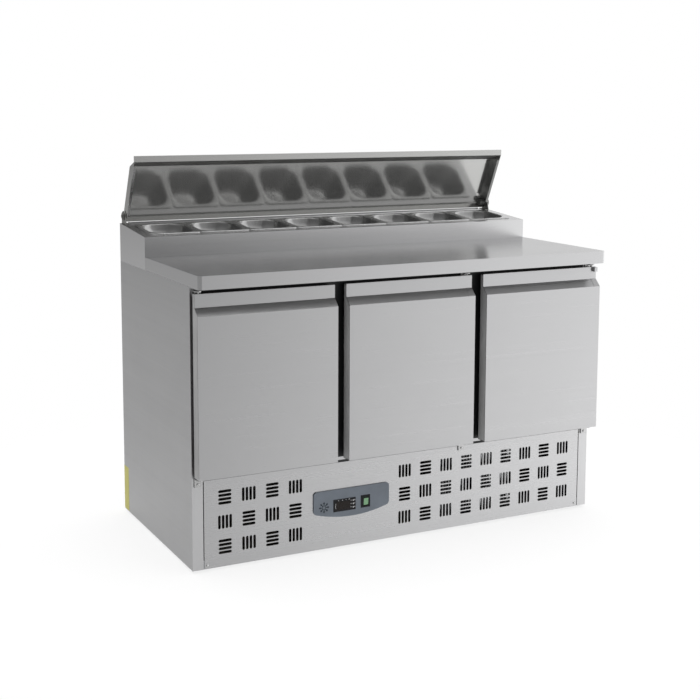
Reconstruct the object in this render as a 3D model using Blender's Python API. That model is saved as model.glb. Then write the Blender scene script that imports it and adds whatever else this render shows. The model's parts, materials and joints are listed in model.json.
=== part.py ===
"""Refrigerated preparation counter with three doors and a lidded well of eight food pans.

Metres, +Z up. X runs along the front, -Y is the front, and the origin is on the floor under the
middle of the counter. Run with: blender --background --python part.py
"""
import math

import bmesh
import bpy
from mathutils import Matrix, Vector

# Overall size
WIDTH = 1.365
DEPTH = 0.708
HALF_WIDTH = WIDTH / 2
FRONT = -DEPTH / 2
REAR = DEPTH / 2
FLOOR_GAP = 0.008
SHEET = 0.0012
THIN_SHEET = 0.0010
GAP = 0.0003
OVERCUT = 0.0200

# Worktop and the raised housing of the pan well
WORKTOP_TOP = 0.8556
WORKTOP_SKIRT = 0.0385
WORKTOP_CORNER_RADIUS = 0.010
WORKTOP_CORNER_STEPS = 6
CORE_INSET = 0.0080
SKIRT_BOTTOM = WORKTOP_TOP - WORKTOP_SKIRT
HOUSING_FRONT = FRONT + 0.4584
HOUSING_FRONT_TOP = 0.9169
HOUSING_REAR_TOP = 0.9377
WELL_SLOPE = math.atan2(HOUSING_REAR_TOP - HOUSING_FRONT_TOP, REAR - HOUSING_FRONT)

# Cabinet body
BODY_FRONT = FRONT + 0.0716
BODY_TOP = SKIRT_BOTTOM - GAP
SIDE_FLANGE = 0.0325
REAR_FLANGE = 0.020
BACK_PANEL_Y = REAR - 0.0150
PLINTH_TOP = 0.2653
PANEL_HALF_WIDTH = HALF_WIDTH - SIDE_FLANGE - 0.0015
FOAM_BOTTOM = 0.2440
LINER_HALF_WIDTH = 0.6445
LINER_BACK = REAR - 0.0550
LINER_FLOOR = 0.2830
LINER_TOP = 0.8075
LINER_MOUTH_GAP = 0.0025
WELL_MOUTH = ((-0.640, 0.1190, 0.790), (0.640, 0.2940, 0.820))
FRAME_BACK = BODY_FRONT + 0.0252
SILL_LOW = 0.2731
SILL_HIGH = 0.2826
SILL_SHEET = 0.0006
TRAY_DEPTH = 0.0250
FOOT_PLACES = [(x, y) for x in (-0.650, 0.650) for y in (-0.216, 0.314)]
FOOT_RADIUS = 0.0200
FOOT_STEM_RADIUS = 0.0050
FOOT_STEM_LENGTH = 0.0260
FOOT_STEM_MIDDLE = 0.0170
GLAND_X = 0.5000
GLAND_Z = 0.0800
GLAND_SHANK_RADIUS = 0.0105
GLAND_HOLE_RADIUS = 0.0112
GLAND_NUT_RADIUS = 0.0150
GLAND_NUT_LENGTH = 0.0100

# Doors
DOOR_WIDTH = 0.4265
DOOR_LEFTS = (-0.6790, -0.2155, 0.2523)
HINGED_LEFT = (True, False, False)
DOOR_BOTTOM = 0.2827
DOOR_TOP = 0.8010
DOOR_FRONT = FRONT + 0.0200
DOOR_BACK = FRONT + 0.0580
GRIP_DEPTH = 0.0220
GRIP_LOW = 0.7410
GRIP_HIGH = 0.7630
PIVOT_INSET = 0.0130
PIVOT_Y = FRONT + 0.0500
PIN_RADIUS = 0.0030
PIN_HOLE_RADIUS = 0.0034
GASKET_INSET = 0.0120
GASKET_WIDTH = 0.0160
MOUTH_INSET = 0.0220
BRACKET_SHEET = 0.0030
BRACKET_NOSE = 0.0100
BRACKET_TOP_Z = 0.8060
BRACKET_TOP_TAB = 0.0190
BRACKET_BOTTOM_Z = 0.2750
BRACKET_BOTTOM_TAB = 0.0240
PIN_REACH = 0.0110

# Food pans, given in the sloped plane of the well's top: across, up the slope, above the plane
PAN_COUNT = 8
PAN_PITCH = 0.1630
PAN_WIDTH = 0.1620
PAN_LENGTH = 0.1760
PAN_DEPTH = 0.1000
PAN_FRONT_SLOPE = 0.0300
PAN_SHEET = 0.0010
PAN_CORNER_STEPS = 4
RIM_HEIGHT = 0.0030
RIM_OVERLAP = 0.0080
RIM_CORNER = 0.0120
RIM_SIDE = 0.0105
RIM_END = 0.0125
BOWL_CORNER = 0.0260
PAN_ROW_HALF = PAN_COUNT * PAN_PITCH / 2
PAN_BACK_SLOPE = PAN_FRONT_SLOPE + PAN_LENGTH
RACK_MARGIN = 0.0040
RACK_SHEET = 0.0030
RACK_BAR_HALF = 0.0065

# Lid, given around its hinge axis: out from the axis towards the front, and above it when shut
LID_AXIS_Y = REAR - 0.0180
LID_AXIS_Z = 0.9610
LID_OPEN_ANGLE = math.radians(64.5)
LID_HALF_WIDTH = 0.6715
LID_TOP = 0.0140
LID_EDGE = -0.0190
LID_BACK_TOP = -0.0124
LID_BACK_LOW = -0.0170
LID_BACK_EDGE = -0.0060
LID_FLAT_END = 0.1700
LID_LIP_TIP = (0.2190, -0.0105)
LID_PIN_RADIUS = 0.0040
LID_HOLE_RADIUS = 0.0042
EAR_RADIUS = 0.0165
EAR_SHEET = 0.0025
EAR_INSET = 0.0088
EAR_FOOT_WIDTH = 0.0120
EAR_FOOT_SHEET = 0.0018

# Plinth panel with groups of four slots
SLOT_WIDTH = 0.0068
SLOT_LENGTH = 0.0400
SLOT_PITCH = 0.0114
SLOTS_IN_GROUP = 4
GROUP_PITCH = 0.0732
LEFT_GROUP_START = -0.5843
LEFT_GROUP_COLUMNS = 4
RIGHT_GROUP_START = 0.0
RIGHT_GROUP_COLUMNS = 9
GROUP_ROWS = (0.2113, 0.1390, 0.0667)
PANEL_RETURN = 0.0120

# Control plate on the plinth
PLATE_LEFT = -0.3076
PLATE_RIGHT = -0.0562
PLATE_TOP = 0.1845
PLATE_SIDE_BOTTOM = 0.1185
PLATE_SAG = 0.0200
PLATE_CORNER = 0.0100
PLATE_FRONT = BODY_FRONT - 0.0038
CONTROLLER_LOW = Vector((-0.2430, BODY_FRONT - 0.0048, 0.1170))
CONTROLLER_HIGH = Vector((-0.1697, BODY_FRONT + 0.0450, 0.1540))
KEY_HEIGHTS = (0.1250, 0.1355, 0.1460)
KEY_X = -0.1780
KEY_RADIUS = 0.0022
SWITCH_LOW = Vector((-0.1517, BODY_FRONT - 0.0046, 0.1180))
SWITCH_HIGH = Vector((-0.1211, BODY_FRONT + 0.0250, 0.1557))
SWITCH_BORDER = 0.0050
SWITCH_POCKET = 0.0200
ROCKER_TILT = math.radians(6.0)
ROCKER_AXIS_DEPTH = 0.0080
ROCKER_FACE = 0.0072
ROCKER_END_GAP = 0.0018
ROCKER_SIDE_GAP = 0.0005

# Wire shelves
SHELF_WIDTH = 0.3950
SHELF_FRONT = -0.2440
SHELF_BACK = 0.2660
SHELF_Z = 0.5303
SHELF_BARS = 12
SHELF_RIM = 0.0060
SHELF_WIRE = 0.0040
LEDGE_SHEET = 0.0015
LUG_HALF_WIDTH = 0.0450
LUG_HEIGHT = 0.0080
LUG_BACK = -0.2310

# Refrigeration
CONDENSER_LOW = Vector((0.1200, -0.2520, 0.0300))
CONDENSER_HIGH = Vector((0.4000, -0.1960, 0.2250))
FAN_RADIUS = 0.0740
FAN_Y = -0.1610
FAN_HUB_RADIUS = 0.0180
FAN_BLADES = 5
FAN_PITCH = math.radians(28)
SHROUD_DEPTH = 0.0500
SPIDER_HALF = 0.0060
MOTOR_RADIUS = 0.0300
MOTOR_LENGTH = 0.0440
FIN_COUNT = 26
COMPRESSOR_AT = Vector((0.5000, 0.1340, 0.0093))
EVAPORATOR_LOW = Vector((-0.2000, 0.2680, 0.6000))
EVAPORATOR_HIGH = Vector((0.2000, 0.2970, 0.7600))
PIPE_HOLE = Vector((0.2180, 0.2490, 0.2700))
PIPE_HOLE_RADIUS = 0.0062
PIPE_RADIUS = 0.0045


def clear_scene():
    for obj in list(bpy.data.objects):
        bpy.data.objects.remove(obj, do_unlink=True)


def make_material(name, colour, roughness, metallic):
    material = bpy.data.materials.new(name)
    material.use_nodes = True
    shader = material.node_tree.nodes["Principled BSDF"]
    shader.inputs["Base Color"].default_value = (*colour, 1.0)
    shader.inputs["Roughness"].default_value = roughness
    shader.inputs["Metallic"].default_value = metallic
    return material


clear_scene()
STEEL = make_material("brushed_steel", (0.60, 0.60, 0.59), 0.34, 1.0)
BRIGHT_STEEL = make_material("bright_steel", (0.68, 0.68, 0.68), 0.16, 1.0)
LINER_STEEL = make_material("liner_steel", (0.66, 0.66, 0.66), 0.28, 1.0)
GALVANISED = make_material("galvanised_steel", (0.52, 0.54, 0.55), 0.45, 1.0)
ALUMINIUM = make_material("aluminium_fins", (0.80, 0.81, 0.82), 0.35, 1.0)
COPPER = make_material("copper_pipe", (0.72, 0.40, 0.26), 0.30, 1.0)
BLACK_PAINT = make_material("black_paint", (0.02, 0.02, 0.02), 0.45, 0.0)
BLACK_PLASTIC = make_material("black_plastic", (0.015, 0.015, 0.016), 0.40, 0.0)
SLATE_PLASTIC = make_material("slate_plastic", (0.16, 0.19, 0.23), 0.50, 0.0)
KEY_PLASTIC = make_material("key_plastic", (0.70, 0.70, 0.70), 0.45, 0.0)
GREEN_LENS = make_material("green_lens", (0.16, 0.48, 0.20), 0.25, 0.0)
RUBBER = make_material("gasket_rubber", (0.012, 0.012, 0.012), 0.65, 0.0)
FOAM = make_material("foam", (0.82, 0.76, 0.55), 0.90, 0.0)
BOARD = make_material("core_board", (0.55, 0.42, 0.27), 0.85, 0.0)


# ---- building blocks


def add_object(name, bm, material, parent=None, location=(0.0, 0.0, 0.0)):
    bmesh.ops.recalc_face_normals(bm, faces=bm.faces)
    mesh = bpy.data.meshes.new(name)
    bm.to_mesh(mesh)
    bm.free()
    mesh.materials.append(material)
    obj = bpy.data.objects.new(name, mesh)
    bpy.context.scene.collection.objects.link(obj)
    obj.parent = parent
    obj.location = location
    return obj


def add_empty(name, location, rotation_x=0.0):
    empty = bpy.data.objects.new(name, None)
    bpy.context.scene.collection.objects.link(empty)
    empty.location = location
    empty.rotation_euler = (rotation_x, 0.0, 0.0)
    empty.empty_display_size = 0.05
    return empty


def smooth(obj, degrees=35.0):
    obj.data.shade_smooth()
    obj.data.set_sharp_from_angle(angle=math.radians(degrees))
    return obj


def add_box(bm, low, high):
    low, high = Vector(low), Vector(high)
    made = bmesh.ops.create_cube(bm, size=1.0)["verts"]
    bmesh.ops.scale(bm, vec=high - low, verts=made)
    bmesh.ops.translate(bm, vec=(low + high) / 2, verts=made)
    return made


def add_prism(bm, outline, axis, start, end):
    """Extrude a closed outline. It holds (y, z) for axis X, (x, z) for Y and (x, y) for Z."""
    place = {
        "X": lambda a, b, t: (t, a, b),
        "Y": lambda a, b, t: (a, t, b),
        "Z": lambda a, b, t: (a, b, t),
    }[axis]
    first = [bm.verts.new(place(a, b, start)) for a, b in outline]
    last = [bm.verts.new(place(a, b, end)) for a, b in outline]
    faces = [bm.faces.new(first), bm.faces.new(list(reversed(last)))]
    count = len(outline)
    for i in range(count):
        j = (i + 1) % count
        faces.append(bm.faces.new((first[i], last[i], last[j], first[j])))
    bmesh.ops.recalc_face_normals(bm, faces=faces)
    return first + last


def add_cylinder(bm, centre, radius, length, axis, segments=24):
    turn = {
        "X": Matrix.Rotation(math.pi / 2, 4, "Y"),
        "Y": Matrix.Rotation(math.pi / 2, 4, "X"),
        "Z": Matrix.Identity(4),
    }[axis]
    made = bmesh.ops.create_cone(
        bm,
        cap_ends=True,
        segments=segments,
        radius1=radius,
        radius2=radius,
        depth=length,
        matrix=Matrix.Translation(centre) @ turn,
    )
    return made["verts"]


def add_lathe(bm, profile, centre, segments):
    """Turn (radius, height) pairs about a vertical axis; the first and last radius are zero."""
    rings = []
    for radius, height in profile[1:-1]:
        ring = []
        for i in range(segments):
            angle = 2 * math.pi * i / segments
            point = Vector((radius * math.cos(angle), radius * math.sin(angle), height))
            ring.append(bm.verts.new(Vector(centre) + point))
        rings.append(ring)
    top = bm.verts.new(Vector(centre) + Vector((0.0, 0.0, profile[0][1])))
    bottom = bm.verts.new(Vector(centre) + Vector((0.0, 0.0, profile[-1][1])))
    for i in range(segments):
        j = (i + 1) % segments
        bm.faces.new((top, rings[0][i], rings[0][j]))
        for upper, lower in zip(rings, rings[1:]):
            bm.faces.new((upper[i], lower[i], lower[j], upper[j]))
        bm.faces.new((rings[-1][i], bottom, rings[-1][j]))


def box(name, low, high, material, parent=None, location=(0.0, 0.0, 0.0)):
    bm = bmesh.new()
    add_box(bm, low, high)
    return add_object(name, bm, material, parent, location)


def prism(name, outline, axis, start, end, material, parent=None, location=(0.0, 0.0, 0.0)):
    bm = bmesh.new()
    add_prism(bm, outline, axis, start, end)
    return add_object(name, bm, material, parent, location)


def combine(obj, operation, bm, label, parent=None, location=(0.0, 0.0, 0.0)):
    """Cut obj with the shape in bm, or join the shape to it."""
    other = add_object(f"{obj.name}_{label}", bm, obj.data.materials[0], parent, location)
    other.hide_render = True
    other.display_type = "WIRE"
    modifier = obj.modifiers.new(label, "BOOLEAN")
    modifier.operation = operation
    modifier.solver = "EXACT"
    modifier.object = other
    return obj


def cut_boxes(obj, boxes, label, parent=None, location=(0.0, 0.0, 0.0)):
    bm = bmesh.new()
    for low, high in boxes:
        add_box(bm, low, high)
    return combine(obj, "DIFFERENCE", bm, label, parent, location)


def join_boxes(obj, boxes, label, parent=None, location=(0.0, 0.0, 0.0)):
    for number, (low, high) in enumerate(boxes, 1):
        bm = bmesh.new()
        add_box(bm, low, high)
        combine(obj, "UNION", bm, f"{label}_{number}", parent, location)
    return obj


def cut_cylinders(obj, cylinders, label, parent=None, location=(0.0, 0.0, 0.0)):
    """Each cylinder is (centre, radius, length, axis, segments)."""
    bm = bmesh.new()
    for cylinder in cylinders:
        add_cylinder(bm, *cylinder)
    return combine(obj, "DIFFERENCE", bm, label, parent, location)


def join_cylinder(obj, cylinder, label, parent=None, location=(0.0, 0.0, 0.0)):
    bm = bmesh.new()
    add_cylinder(bm, *cylinder)
    return combine(obj, "UNION", bm, label, parent, location)


def rounded_rectangle(half_x, half_y, radius, steps):
    """Corner points of a rectangle with round corners, anticlockwise."""
    points = []
    for corner in range(4):
        sign_x = 1 if corner in (0, 3) else -1
        sign_y = 1 if corner in (0, 1) else -1
        centre = (sign_x * (half_x - radius), sign_y * (half_y - radius))
        for step in range(steps + 1):
            angle = math.pi / 2 * (corner + step / steps)
            points.append(
                (centre[0] + radius * math.cos(angle), centre[1] + radius * math.sin(angle))
            )
    return points


def comb_outline(low, high, teeth, depth, fill=0.35):
    """Outline of a finned block seen from above: teeth reach towards the first axis's low side."""
    pitch = (high[0] - low[0]) / teeth
    points = []
    for i in range(teeth):
        start = low[0] + i * pitch
        stop = start + pitch * fill if i < teeth - 1 else high[0]
        points += [(start, low[1]), (stop, low[1])]
        if i < teeth - 1:
            points += [(stop, low[1] + depth), (start + pitch, low[1] + depth)]
    return points + [(high[0], high[1]), (low[0], high[1])]


# ---- cabinet body


def make_side_panel(side):
    """Outer side sheet with a front flange and a rear flange, folded from one plate."""
    name = "side_panel_left" if side < 0 else "side_panel_right"
    inner = HALF_WIDTH - THIN_SHEET
    outline = [
        (HALF_WIDTH, BODY_FRONT),
        (HALF_WIDTH - SIDE_FLANGE, BODY_FRONT),
        (HALF_WIDTH - SIDE_FLANGE, BODY_FRONT + THIN_SHEET),
        (inner, BODY_FRONT + THIN_SHEET),
        (inner, REAR - THIN_SHEET),
        (HALF_WIDTH - REAR_FLANGE, REAR - THIN_SHEET),
        (HALF_WIDTH - REAR_FLANGE, REAR),
        (HALF_WIDTH, REAR),
    ]
    outline = [(side * x, y) for x, y in outline]
    return prism(name, outline, "Z", FLOOR_GAP, BODY_TOP, STEEL)


def make_back_panel():
    half = HALF_WIDTH - THIN_SHEET - 2 * GAP
    panel = box(
        "back_panel",
        (-half, BACK_PANEL_Y, FLOOR_GAP + 0.0015),
        (half, BACK_PANEL_Y + SHEET, BODY_TOP),
        GALVANISED,
    )
    hole = ((GLAND_X, BACK_PANEL_Y, GLAND_Z), GLAND_HOLE_RADIUS, OVERCUT, "Y", 20)
    return cut_cylinders(panel, [hole], "inlet_hole")


def make_base_tray():
    half = HALF_WIDTH - THIN_SHEET - 2 * GAP
    low = Vector((-half, BODY_FRONT + 0.0019, FLOOR_GAP))
    high = Vector((half, BACK_PANEL_Y - 2 * GAP, FLOOR_GAP + TRAY_DEPTH))
    tray = box("base_tray", low, high, GALVANISED)
    wall = Vector((THIN_SHEET, THIN_SHEET, THIN_SHEET))
    inside_high = (high.x - THIN_SHEET, high.y - THIN_SHEET, high.z + OVERCUT)
    cut_boxes(tray, [(low + wall, inside_high)], "hollow")
    holes = [
        ((x, y, FLOOR_GAP), FOOT_STEM_RADIUS + GAP, OVERCUT, "Z", 16) for x, y in FOOT_PLACES
    ]
    return cut_cylinders(tray, holes, "foot_holes")


def make_feet():
    """Levelling feet: a round pad under the tray and a stem up through it."""
    feet = []
    for number, (x, y) in enumerate(FOOT_PLACES, 1):
        pad_top = FLOOR_GAP - GAP
        bm = bmesh.new()
        add_cylinder(bm, (x, y, pad_top / 2), FOOT_RADIUS, pad_top, "Z", 24)
        foot = add_object(f"foot_{number}", bm, BLACK_PLASTIC)
        stem = ((x, y, FOOT_STEM_MIDDLE), FOOT_STEM_RADIUS, FOOT_STEM_LENGTH, "Z", 16)
        feet.append(smooth(join_cylinder(foot, stem, "stem")))
    return feet


def make_cabinet_liner():
    """Inner box: open at the front, with a wide opening up into the pan well and shelf ledges."""
    low = Vector((-LINER_HALF_WIDTH, FRAME_BACK + GAP, LINER_FLOOR))
    high = Vector((LINER_HALF_WIDTH, LINER_BACK, LINER_TOP))
    liner = box("cabinet_liner", low, high, LINER_STEEL)
    inside = (
        (low.x + THIN_SHEET, low.y - OVERCUT, low.z + THIN_SHEET),
        (high.x - THIN_SHEET, high.y - THIN_SHEET, high.z - THIN_SHEET),
    )
    cut_boxes(liner, [inside], "hollow")
    cut_boxes(liner, [WELL_MOUTH], "well_opening")
    ledge_top = SHELF_Z - GAP
    inner_x = LINER_HALF_WIDTH - THIN_SHEET / 2
    ledge_low = ledge_top - LEDGE_SHEET
    ledges = [((-inner_x, 0.2600, ledge_low), (inner_x, LINER_BACK - 0.0005, ledge_top))]
    for side in (-1, 1):
        near, far = sorted((side * (LINER_HALF_WIDTH - 0.0150), side * inner_x))
        ledges.append(((near, -0.1960, ledge_low), (far, 0.2840, ledge_top)))
    join_boxes(liner, ledges, "ledge")
    return cut_cylinders(liner, [(PIPE_HOLE, PIPE_HOLE_RADIUS, 0.08, "Z", 16)], "pipe_hole")


def make_insulation():
    """Foam floor, sides and back between the liner and the outer panels, as one block."""
    half = HALF_WIDTH - THIN_SHEET - 2 * GAP
    foam = box(
        "insulation_foam",
        (-half, FRAME_BACK + GAP, FOAM_BOTTOM),
        (half, BACK_PANEL_Y - GAP, LINER_TOP),
        FOAM,
    )
    inner = LINER_HALF_WIDTH + GAP
    hollow_low = (-inner, FRAME_BACK - OVERCUT, LINER_FLOOR - GAP)
    hollow_high = (inner, LINER_BACK + GAP, LINER_TOP + OVERCUT)
    cut_boxes(foam, [(hollow_low, hollow_high)], "hollow")
    return cut_cylinders(foam, [(PIPE_HOLE, PIPE_HOLE_RADIUS, 0.12, "Z", 16)], "pipe_hole")


def bay_mouths():
    """Clear width of each bay between the posts of the front frame."""
    mouths = [(left + MOUTH_INSET, left + DOOR_WIDTH - MOUTH_INSET) for left in DOOR_LEFTS]
    mouths[0] = (-LINER_HALF_WIDTH + LINER_MOUTH_GAP, mouths[0][1])
    mouths[-1] = (mouths[-1][0], LINER_HALF_WIDTH - LINER_MOUTH_GAP)
    return mouths


def post_centres():
    mouths = bay_mouths()
    return [(a[1] + b[0]) / 2 for a, b in zip(mouths, mouths[1:])]


def make_front_frame():
    """Ladder frame that the door gaskets seal against, with lugs for the shelves' front edges."""
    frame = box(
        "front_frame",
        (-PANEL_HALF_WIDTH, BODY_FRONT, PLINTH_TOP + GAP),
        (PANEL_HALF_WIDTH, FRAME_BACK, BODY_TOP),
        BLACK_PLASTIC,
    )
    mouth_bottom = DOOR_BOTTOM + MOUTH_INSET
    mouth_top = DOOR_TOP - MOUTH_INSET
    near, far = BODY_FRONT - OVERCUT, FRAME_BACK + OVERCUT
    mouths = [((x0, near, mouth_bottom), (x1, far, mouth_top)) for x0, x1 in bay_mouths()]
    cut_boxes(frame, mouths, "mouths")
    lug_top = SHELF_Z - GAP
    lugs = []
    for x in post_centres():
        low = (x - LUG_HALF_WIDTH, FRAME_BACK - 0.001, lug_top - LUG_HEIGHT)
        lugs.append((low, (x + LUG_HALF_WIDTH, LUG_BACK, lug_top)))
    return join_boxes(frame, lugs, "lug")


def make_sill_strip():
    return box(
        "sill_strip",
        (-PANEL_HALF_WIDTH, BODY_FRONT - GAP - SILL_SHEET, SILL_LOW),
        (PANEL_HALF_WIDTH, BODY_FRONT - GAP, SILL_HIGH),
        STEEL,
    )


# ---- worktop and pan well


def worktop_plan(inset, back):
    """Plan outline as (x, y): rounded front corners, drawn in by inset at the front and sides."""
    radius = WORKTOP_CORNER_RADIUS - inset
    half, front = HALF_WIDTH - inset, FRONT + inset
    points = [(half, back), (-half, back)]
    for side, start in ((-1, 180), (1, 270)):
        for step in range(WORKTOP_CORNER_STEPS + 1):
            angle = math.radians(start + 90 * step / WORKTOP_CORNER_STEPS)
            across = side * (half - radius) + radius * math.cos(angle)
            points.append((across, front + radius + radius * math.sin(angle)))
    return points


def make_worktop():
    """Folded worktop: top, front and side skirts, open underneath and towards the housing."""
    outer = worktop_plan(0.0, HOUSING_FRONT - GAP)
    worktop = prism("worktop", outer, "Z", SKIRT_BOTTOM, WORKTOP_TOP, STEEL)
    bm = bmesh.new()
    hollow = worktop_plan(SHEET, HOUSING_FRONT + OVERCUT)
    add_prism(bm, hollow, "Z", SKIRT_BOTTOM - OVERCUT, WORKTOP_TOP - SHEET)
    return combine(worktop, "DIFFERENCE", bm, "hollow")


def make_worktop_core():
    outline = worktop_plan(CORE_INSET, HOUSING_FRONT - 0.0040)
    top = WORKTOP_TOP - SHEET - GAP
    return prism("worktop_core", outline, "Z", BODY_TOP + 0.0010, top, BOARD)


def slope_point(across, up, above):
    """World place of a point given in the sloped plane of the well's top."""
    turn = Matrix.Rotation(WELL_SLOPE, 4, "X")
    return Vector((0.0, HOUSING_FRONT, HOUSING_FRONT_TOP)) + turn @ Vector((across, up, above))


def make_well_housing(plane):
    """Raised housing: sides, front riser, back and sloped top frame, open underneath."""
    outer = [
        (HOUSING_FRONT, SKIRT_BOTTOM),
        (REAR, SKIRT_BOTTOM),
        (REAR, HOUSING_REAR_TOP),
        (HOUSING_FRONT, HOUSING_FRONT_TOP),
    ]
    housing = prism("well_housing", outer, "X", -HALF_WIDTH, HALF_WIDTH, STEEL)
    inner = [
        (HOUSING_FRONT + SHEET, SKIRT_BOTTOM - OVERCUT),
        (REAR - SHEET, SKIRT_BOTTOM - OVERCUT),
        (REAR - SHEET, HOUSING_REAR_TOP - SHEET),
        (HOUSING_FRONT + SHEET, HOUSING_FRONT_TOP - SHEET),
    ]
    bm = bmesh.new()
    add_prism(bm, inner, "X", -HALF_WIDTH + SHEET, HALF_WIDTH - SHEET)
    combine(housing, "DIFFERENCE", bm, "hollow")
    half = PAN_ROW_HALF - RIM_OVERLAP
    low = (-half, PAN_FRONT_SLOPE + RIM_OVERLAP, -OVERCUT)
    high = (half, PAN_BACK_SLOPE - RIM_OVERLAP, OVERCUT)
    return cut_boxes(housing, [(low, high)], "pan_opening", plane)


def make_pan_rack(plane):
    """Bars under the sides of the pans, in one plate hung under the well's top frame."""
    top = -SHEET - GAP
    low = (-PAN_ROW_HALF - RACK_MARGIN, PAN_FRONT_SLOPE - RACK_MARGIN, top - RACK_SHEET)
    high = (PAN_ROW_HALF + RACK_MARGIN, PAN_BACK_SLOPE + RACK_MARGIN, top)
    rack = box("pan_rack", low, high, STEEL, plane)
    half = PAN_PITCH / 2 - RACK_BAR_HALF
    holes = []
    for x in pan_centres():
        near = (x - half, PAN_FRONT_SLOPE + RIM_SIDE, -OVERCUT)
        far = (x + half, PAN_BACK_SLOPE - RIM_SIDE, OVERCUT)
        holes.append((near, far))
    return cut_boxes(rack, holes, "pan_holes", plane)


def pan_centres():
    return [(i - (PAN_COUNT - 1) / 2) * PAN_PITCH for i in range(PAN_COUNT)]


def pan_mesh():
    """Pan about the middle of its rim: flat rim, round-cornered bowl that narrows downwards."""
    half_x, half_y = PAN_WIDTH / 2, PAN_LENGTH / 2
    bowl_x, bowl_y = half_x - RIM_SIDE, half_y - RIM_END
    rings = [
        (half_x, half_y, RIM_CORNER, GAP),
        (half_x, half_y, RIM_CORNER, RIM_HEIGHT),
        (bowl_x + 0.002, bowl_y + 0.002, BOWL_CORNER, RIM_HEIGHT),
        (bowl_x, bowl_y, BOWL_CORNER, 0.0005),
        (bowl_x - 0.008, bowl_y - 0.009, 0.032, -PAN_DEPTH * 0.80),
        (bowl_x - 0.013, bowl_y - 0.014, 0.032, -PAN_DEPTH * 0.96),
        (bowl_x - 0.026, bowl_y - 0.028, 0.030, -PAN_DEPTH),
    ]
    outside = [
        (x + PAN_SHEET, y + PAN_SHEET, r + PAN_SHEET, z if z > 0 else z - PAN_SHEET * 0.3)
        for x, y, r, z in rings[3:6]
    ]
    outside[0] = (*outside[0][:3], GAP)
    x, y, r, z = rings[-1]
    outside.append((x + PAN_SHEET * 0.4, y + PAN_SHEET * 0.4, r, z - PAN_SHEET))
    bm = bmesh.new()
    loops = []
    for x, y, r, z in list(reversed(rings)) + outside:
        points = rounded_rectangle(x, y, r, PAN_CORNER_STEPS)
        loops.append([bm.verts.new((a, b, z)) for a, b in points])
    count = len(loops[0])
    for upper, lower in zip(loops, loops[1:]):
        for i in range(count):
            j = (i + 1) % count
            bm.faces.new((upper[i], lower[i], lower[j], upper[j]))
    bm.faces.new(loops[0])
    bm.faces.new(list(reversed(loops[-1])))
    return bm


def make_pans(plane):
    first = None
    for number, x in enumerate(pan_centres(), 1):
        place = (x, PAN_FRONT_SLOPE + PAN_LENGTH / 2, 0.0)
        if first is None:
            first = smooth(add_object("pan_1", pan_mesh(), BRIGHT_STEEL, plane, place))
            continue
        pan = bpy.data.objects.new(f"pan_{number}", first.data)
        bpy.context.scene.collection.objects.link(pan)
        pan.parent = plane
        pan.location = place


# ---- lid


def make_lid(axis):
    """Folded lid: flat top, sloped front wall with an out-turned lip, and two side walls."""
    slope_sum = LID_FLAT_END + LID_TOP
    outline = [
        (LID_BACK_TOP, LID_TOP),
        (LID_FLAT_END, LID_TOP),
        (slope_sum + 0.0180, -0.0180),
        LID_LIP_TIP,
        (LID_LIP_TIP[0] + 0.0004, LID_LIP_TIP[1] - 0.0010),
        (slope_sum + 0.0185, LID_EDGE - 0.0002),
        (0.0100, LID_EDGE),
        (LID_BACK_LOW, LID_BACK_EDGE),
    ]
    outline = [(-out, up) for out, up in outline]
    lid = prism("lid", outline, "X", -LID_HALF_WIDTH, LID_HALF_WIDTH, STEEL, axis)
    inner_sum = slope_sum - THIN_SHEET * math.sqrt(2)
    inner_top = LID_TOP - THIN_SHEET
    lean = (LID_BACK_TOP - LID_BACK_LOW) / (LID_TOP - LID_BACK_EDGE)
    floor = LID_EDGE - OVERCUT
    inner = [
        (LID_BACK_TOP + THIN_SHEET - lean * (LID_TOP - floor), floor),
        (LID_BACK_TOP + THIN_SHEET, inner_top),
        (inner_sum - inner_top, inner_top),
        (inner_sum - floor, floor),
    ]
    bm = bmesh.new()
    half = LID_HALF_WIDTH - THIN_SHEET
    add_prism(bm, [(-out, up) for out, up in inner], "X", -half, half)
    combine(lid, "DIFFERENCE", bm, "hollow", axis)
    bores = [
        ((side * LID_HALF_WIDTH, 0.0, 0.0), LID_HOLE_RADIUS, OVERCUT, "X", 24)
        for side in (-1, 1)
    ]
    return cut_cylinders(lid, bores, "bores", axis)


def make_lid_hinge(side, plane):
    """Ear that stands on the housing outside the lid's side wall, with its riveted pin."""
    name = "lid_hinge_left" if side < 0 else "lid_hinge_right"
    drop = slope_point(0.0, 0.0, 0.0)
    to_plane = Matrix.Rotation(-WELL_SLOPE, 4, "X")
    centre = to_plane @ (Vector((0.0, LID_AXIS_Y, LID_AXIS_Z)) - drop)
    outline = [(centre.y + 0.0160, GAP), (centre.y - 0.0260, GAP)]
    for step in range(13):
        angle = math.radians(150 - 150 * step / 12)
        across, rise = EAR_RADIUS * math.cos(angle), EAR_RADIUS * math.sin(angle)
        outline.append((centre.y + across, centre.z + rise))
    inner = HALF_WIDTH - EAR_INSET
    outer = inner + EAR_SHEET
    start, end = sorted((side * inner, side * outer))
    ear = prism(name, outline, "X", start, end, STEEL, plane)
    foot = sorted((side * (inner - EAR_FOOT_WIDTH), side * (outer - 0.0005)))
    foot_box = (
        (foot[0], centre.y - 0.0240, GAP),
        (foot[1], centre.y + 0.0150, GAP + EAR_FOOT_SHEET),
    )
    join_boxes(ear, [foot_box], "foot", plane)
    pin_in, pin_out = LID_HALF_WIDTH - 0.0060, HALF_WIDTH - 0.0050
    shaft = (
        (side * (pin_in + pin_out) / 2, centre.y, centre.z),
        LID_PIN_RADIUS,
        pin_out - pin_in,
        "X",
        24,
    )
    join_cylinder(ear, shaft, "pin", plane)
    head = ((side * (HALF_WIDTH - 0.0048), centre.y, centre.z), 0.0090, 0.0034, "X", 24)
    return smooth(join_cylinder(ear, head, "head", plane))


# ---- doors


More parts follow.
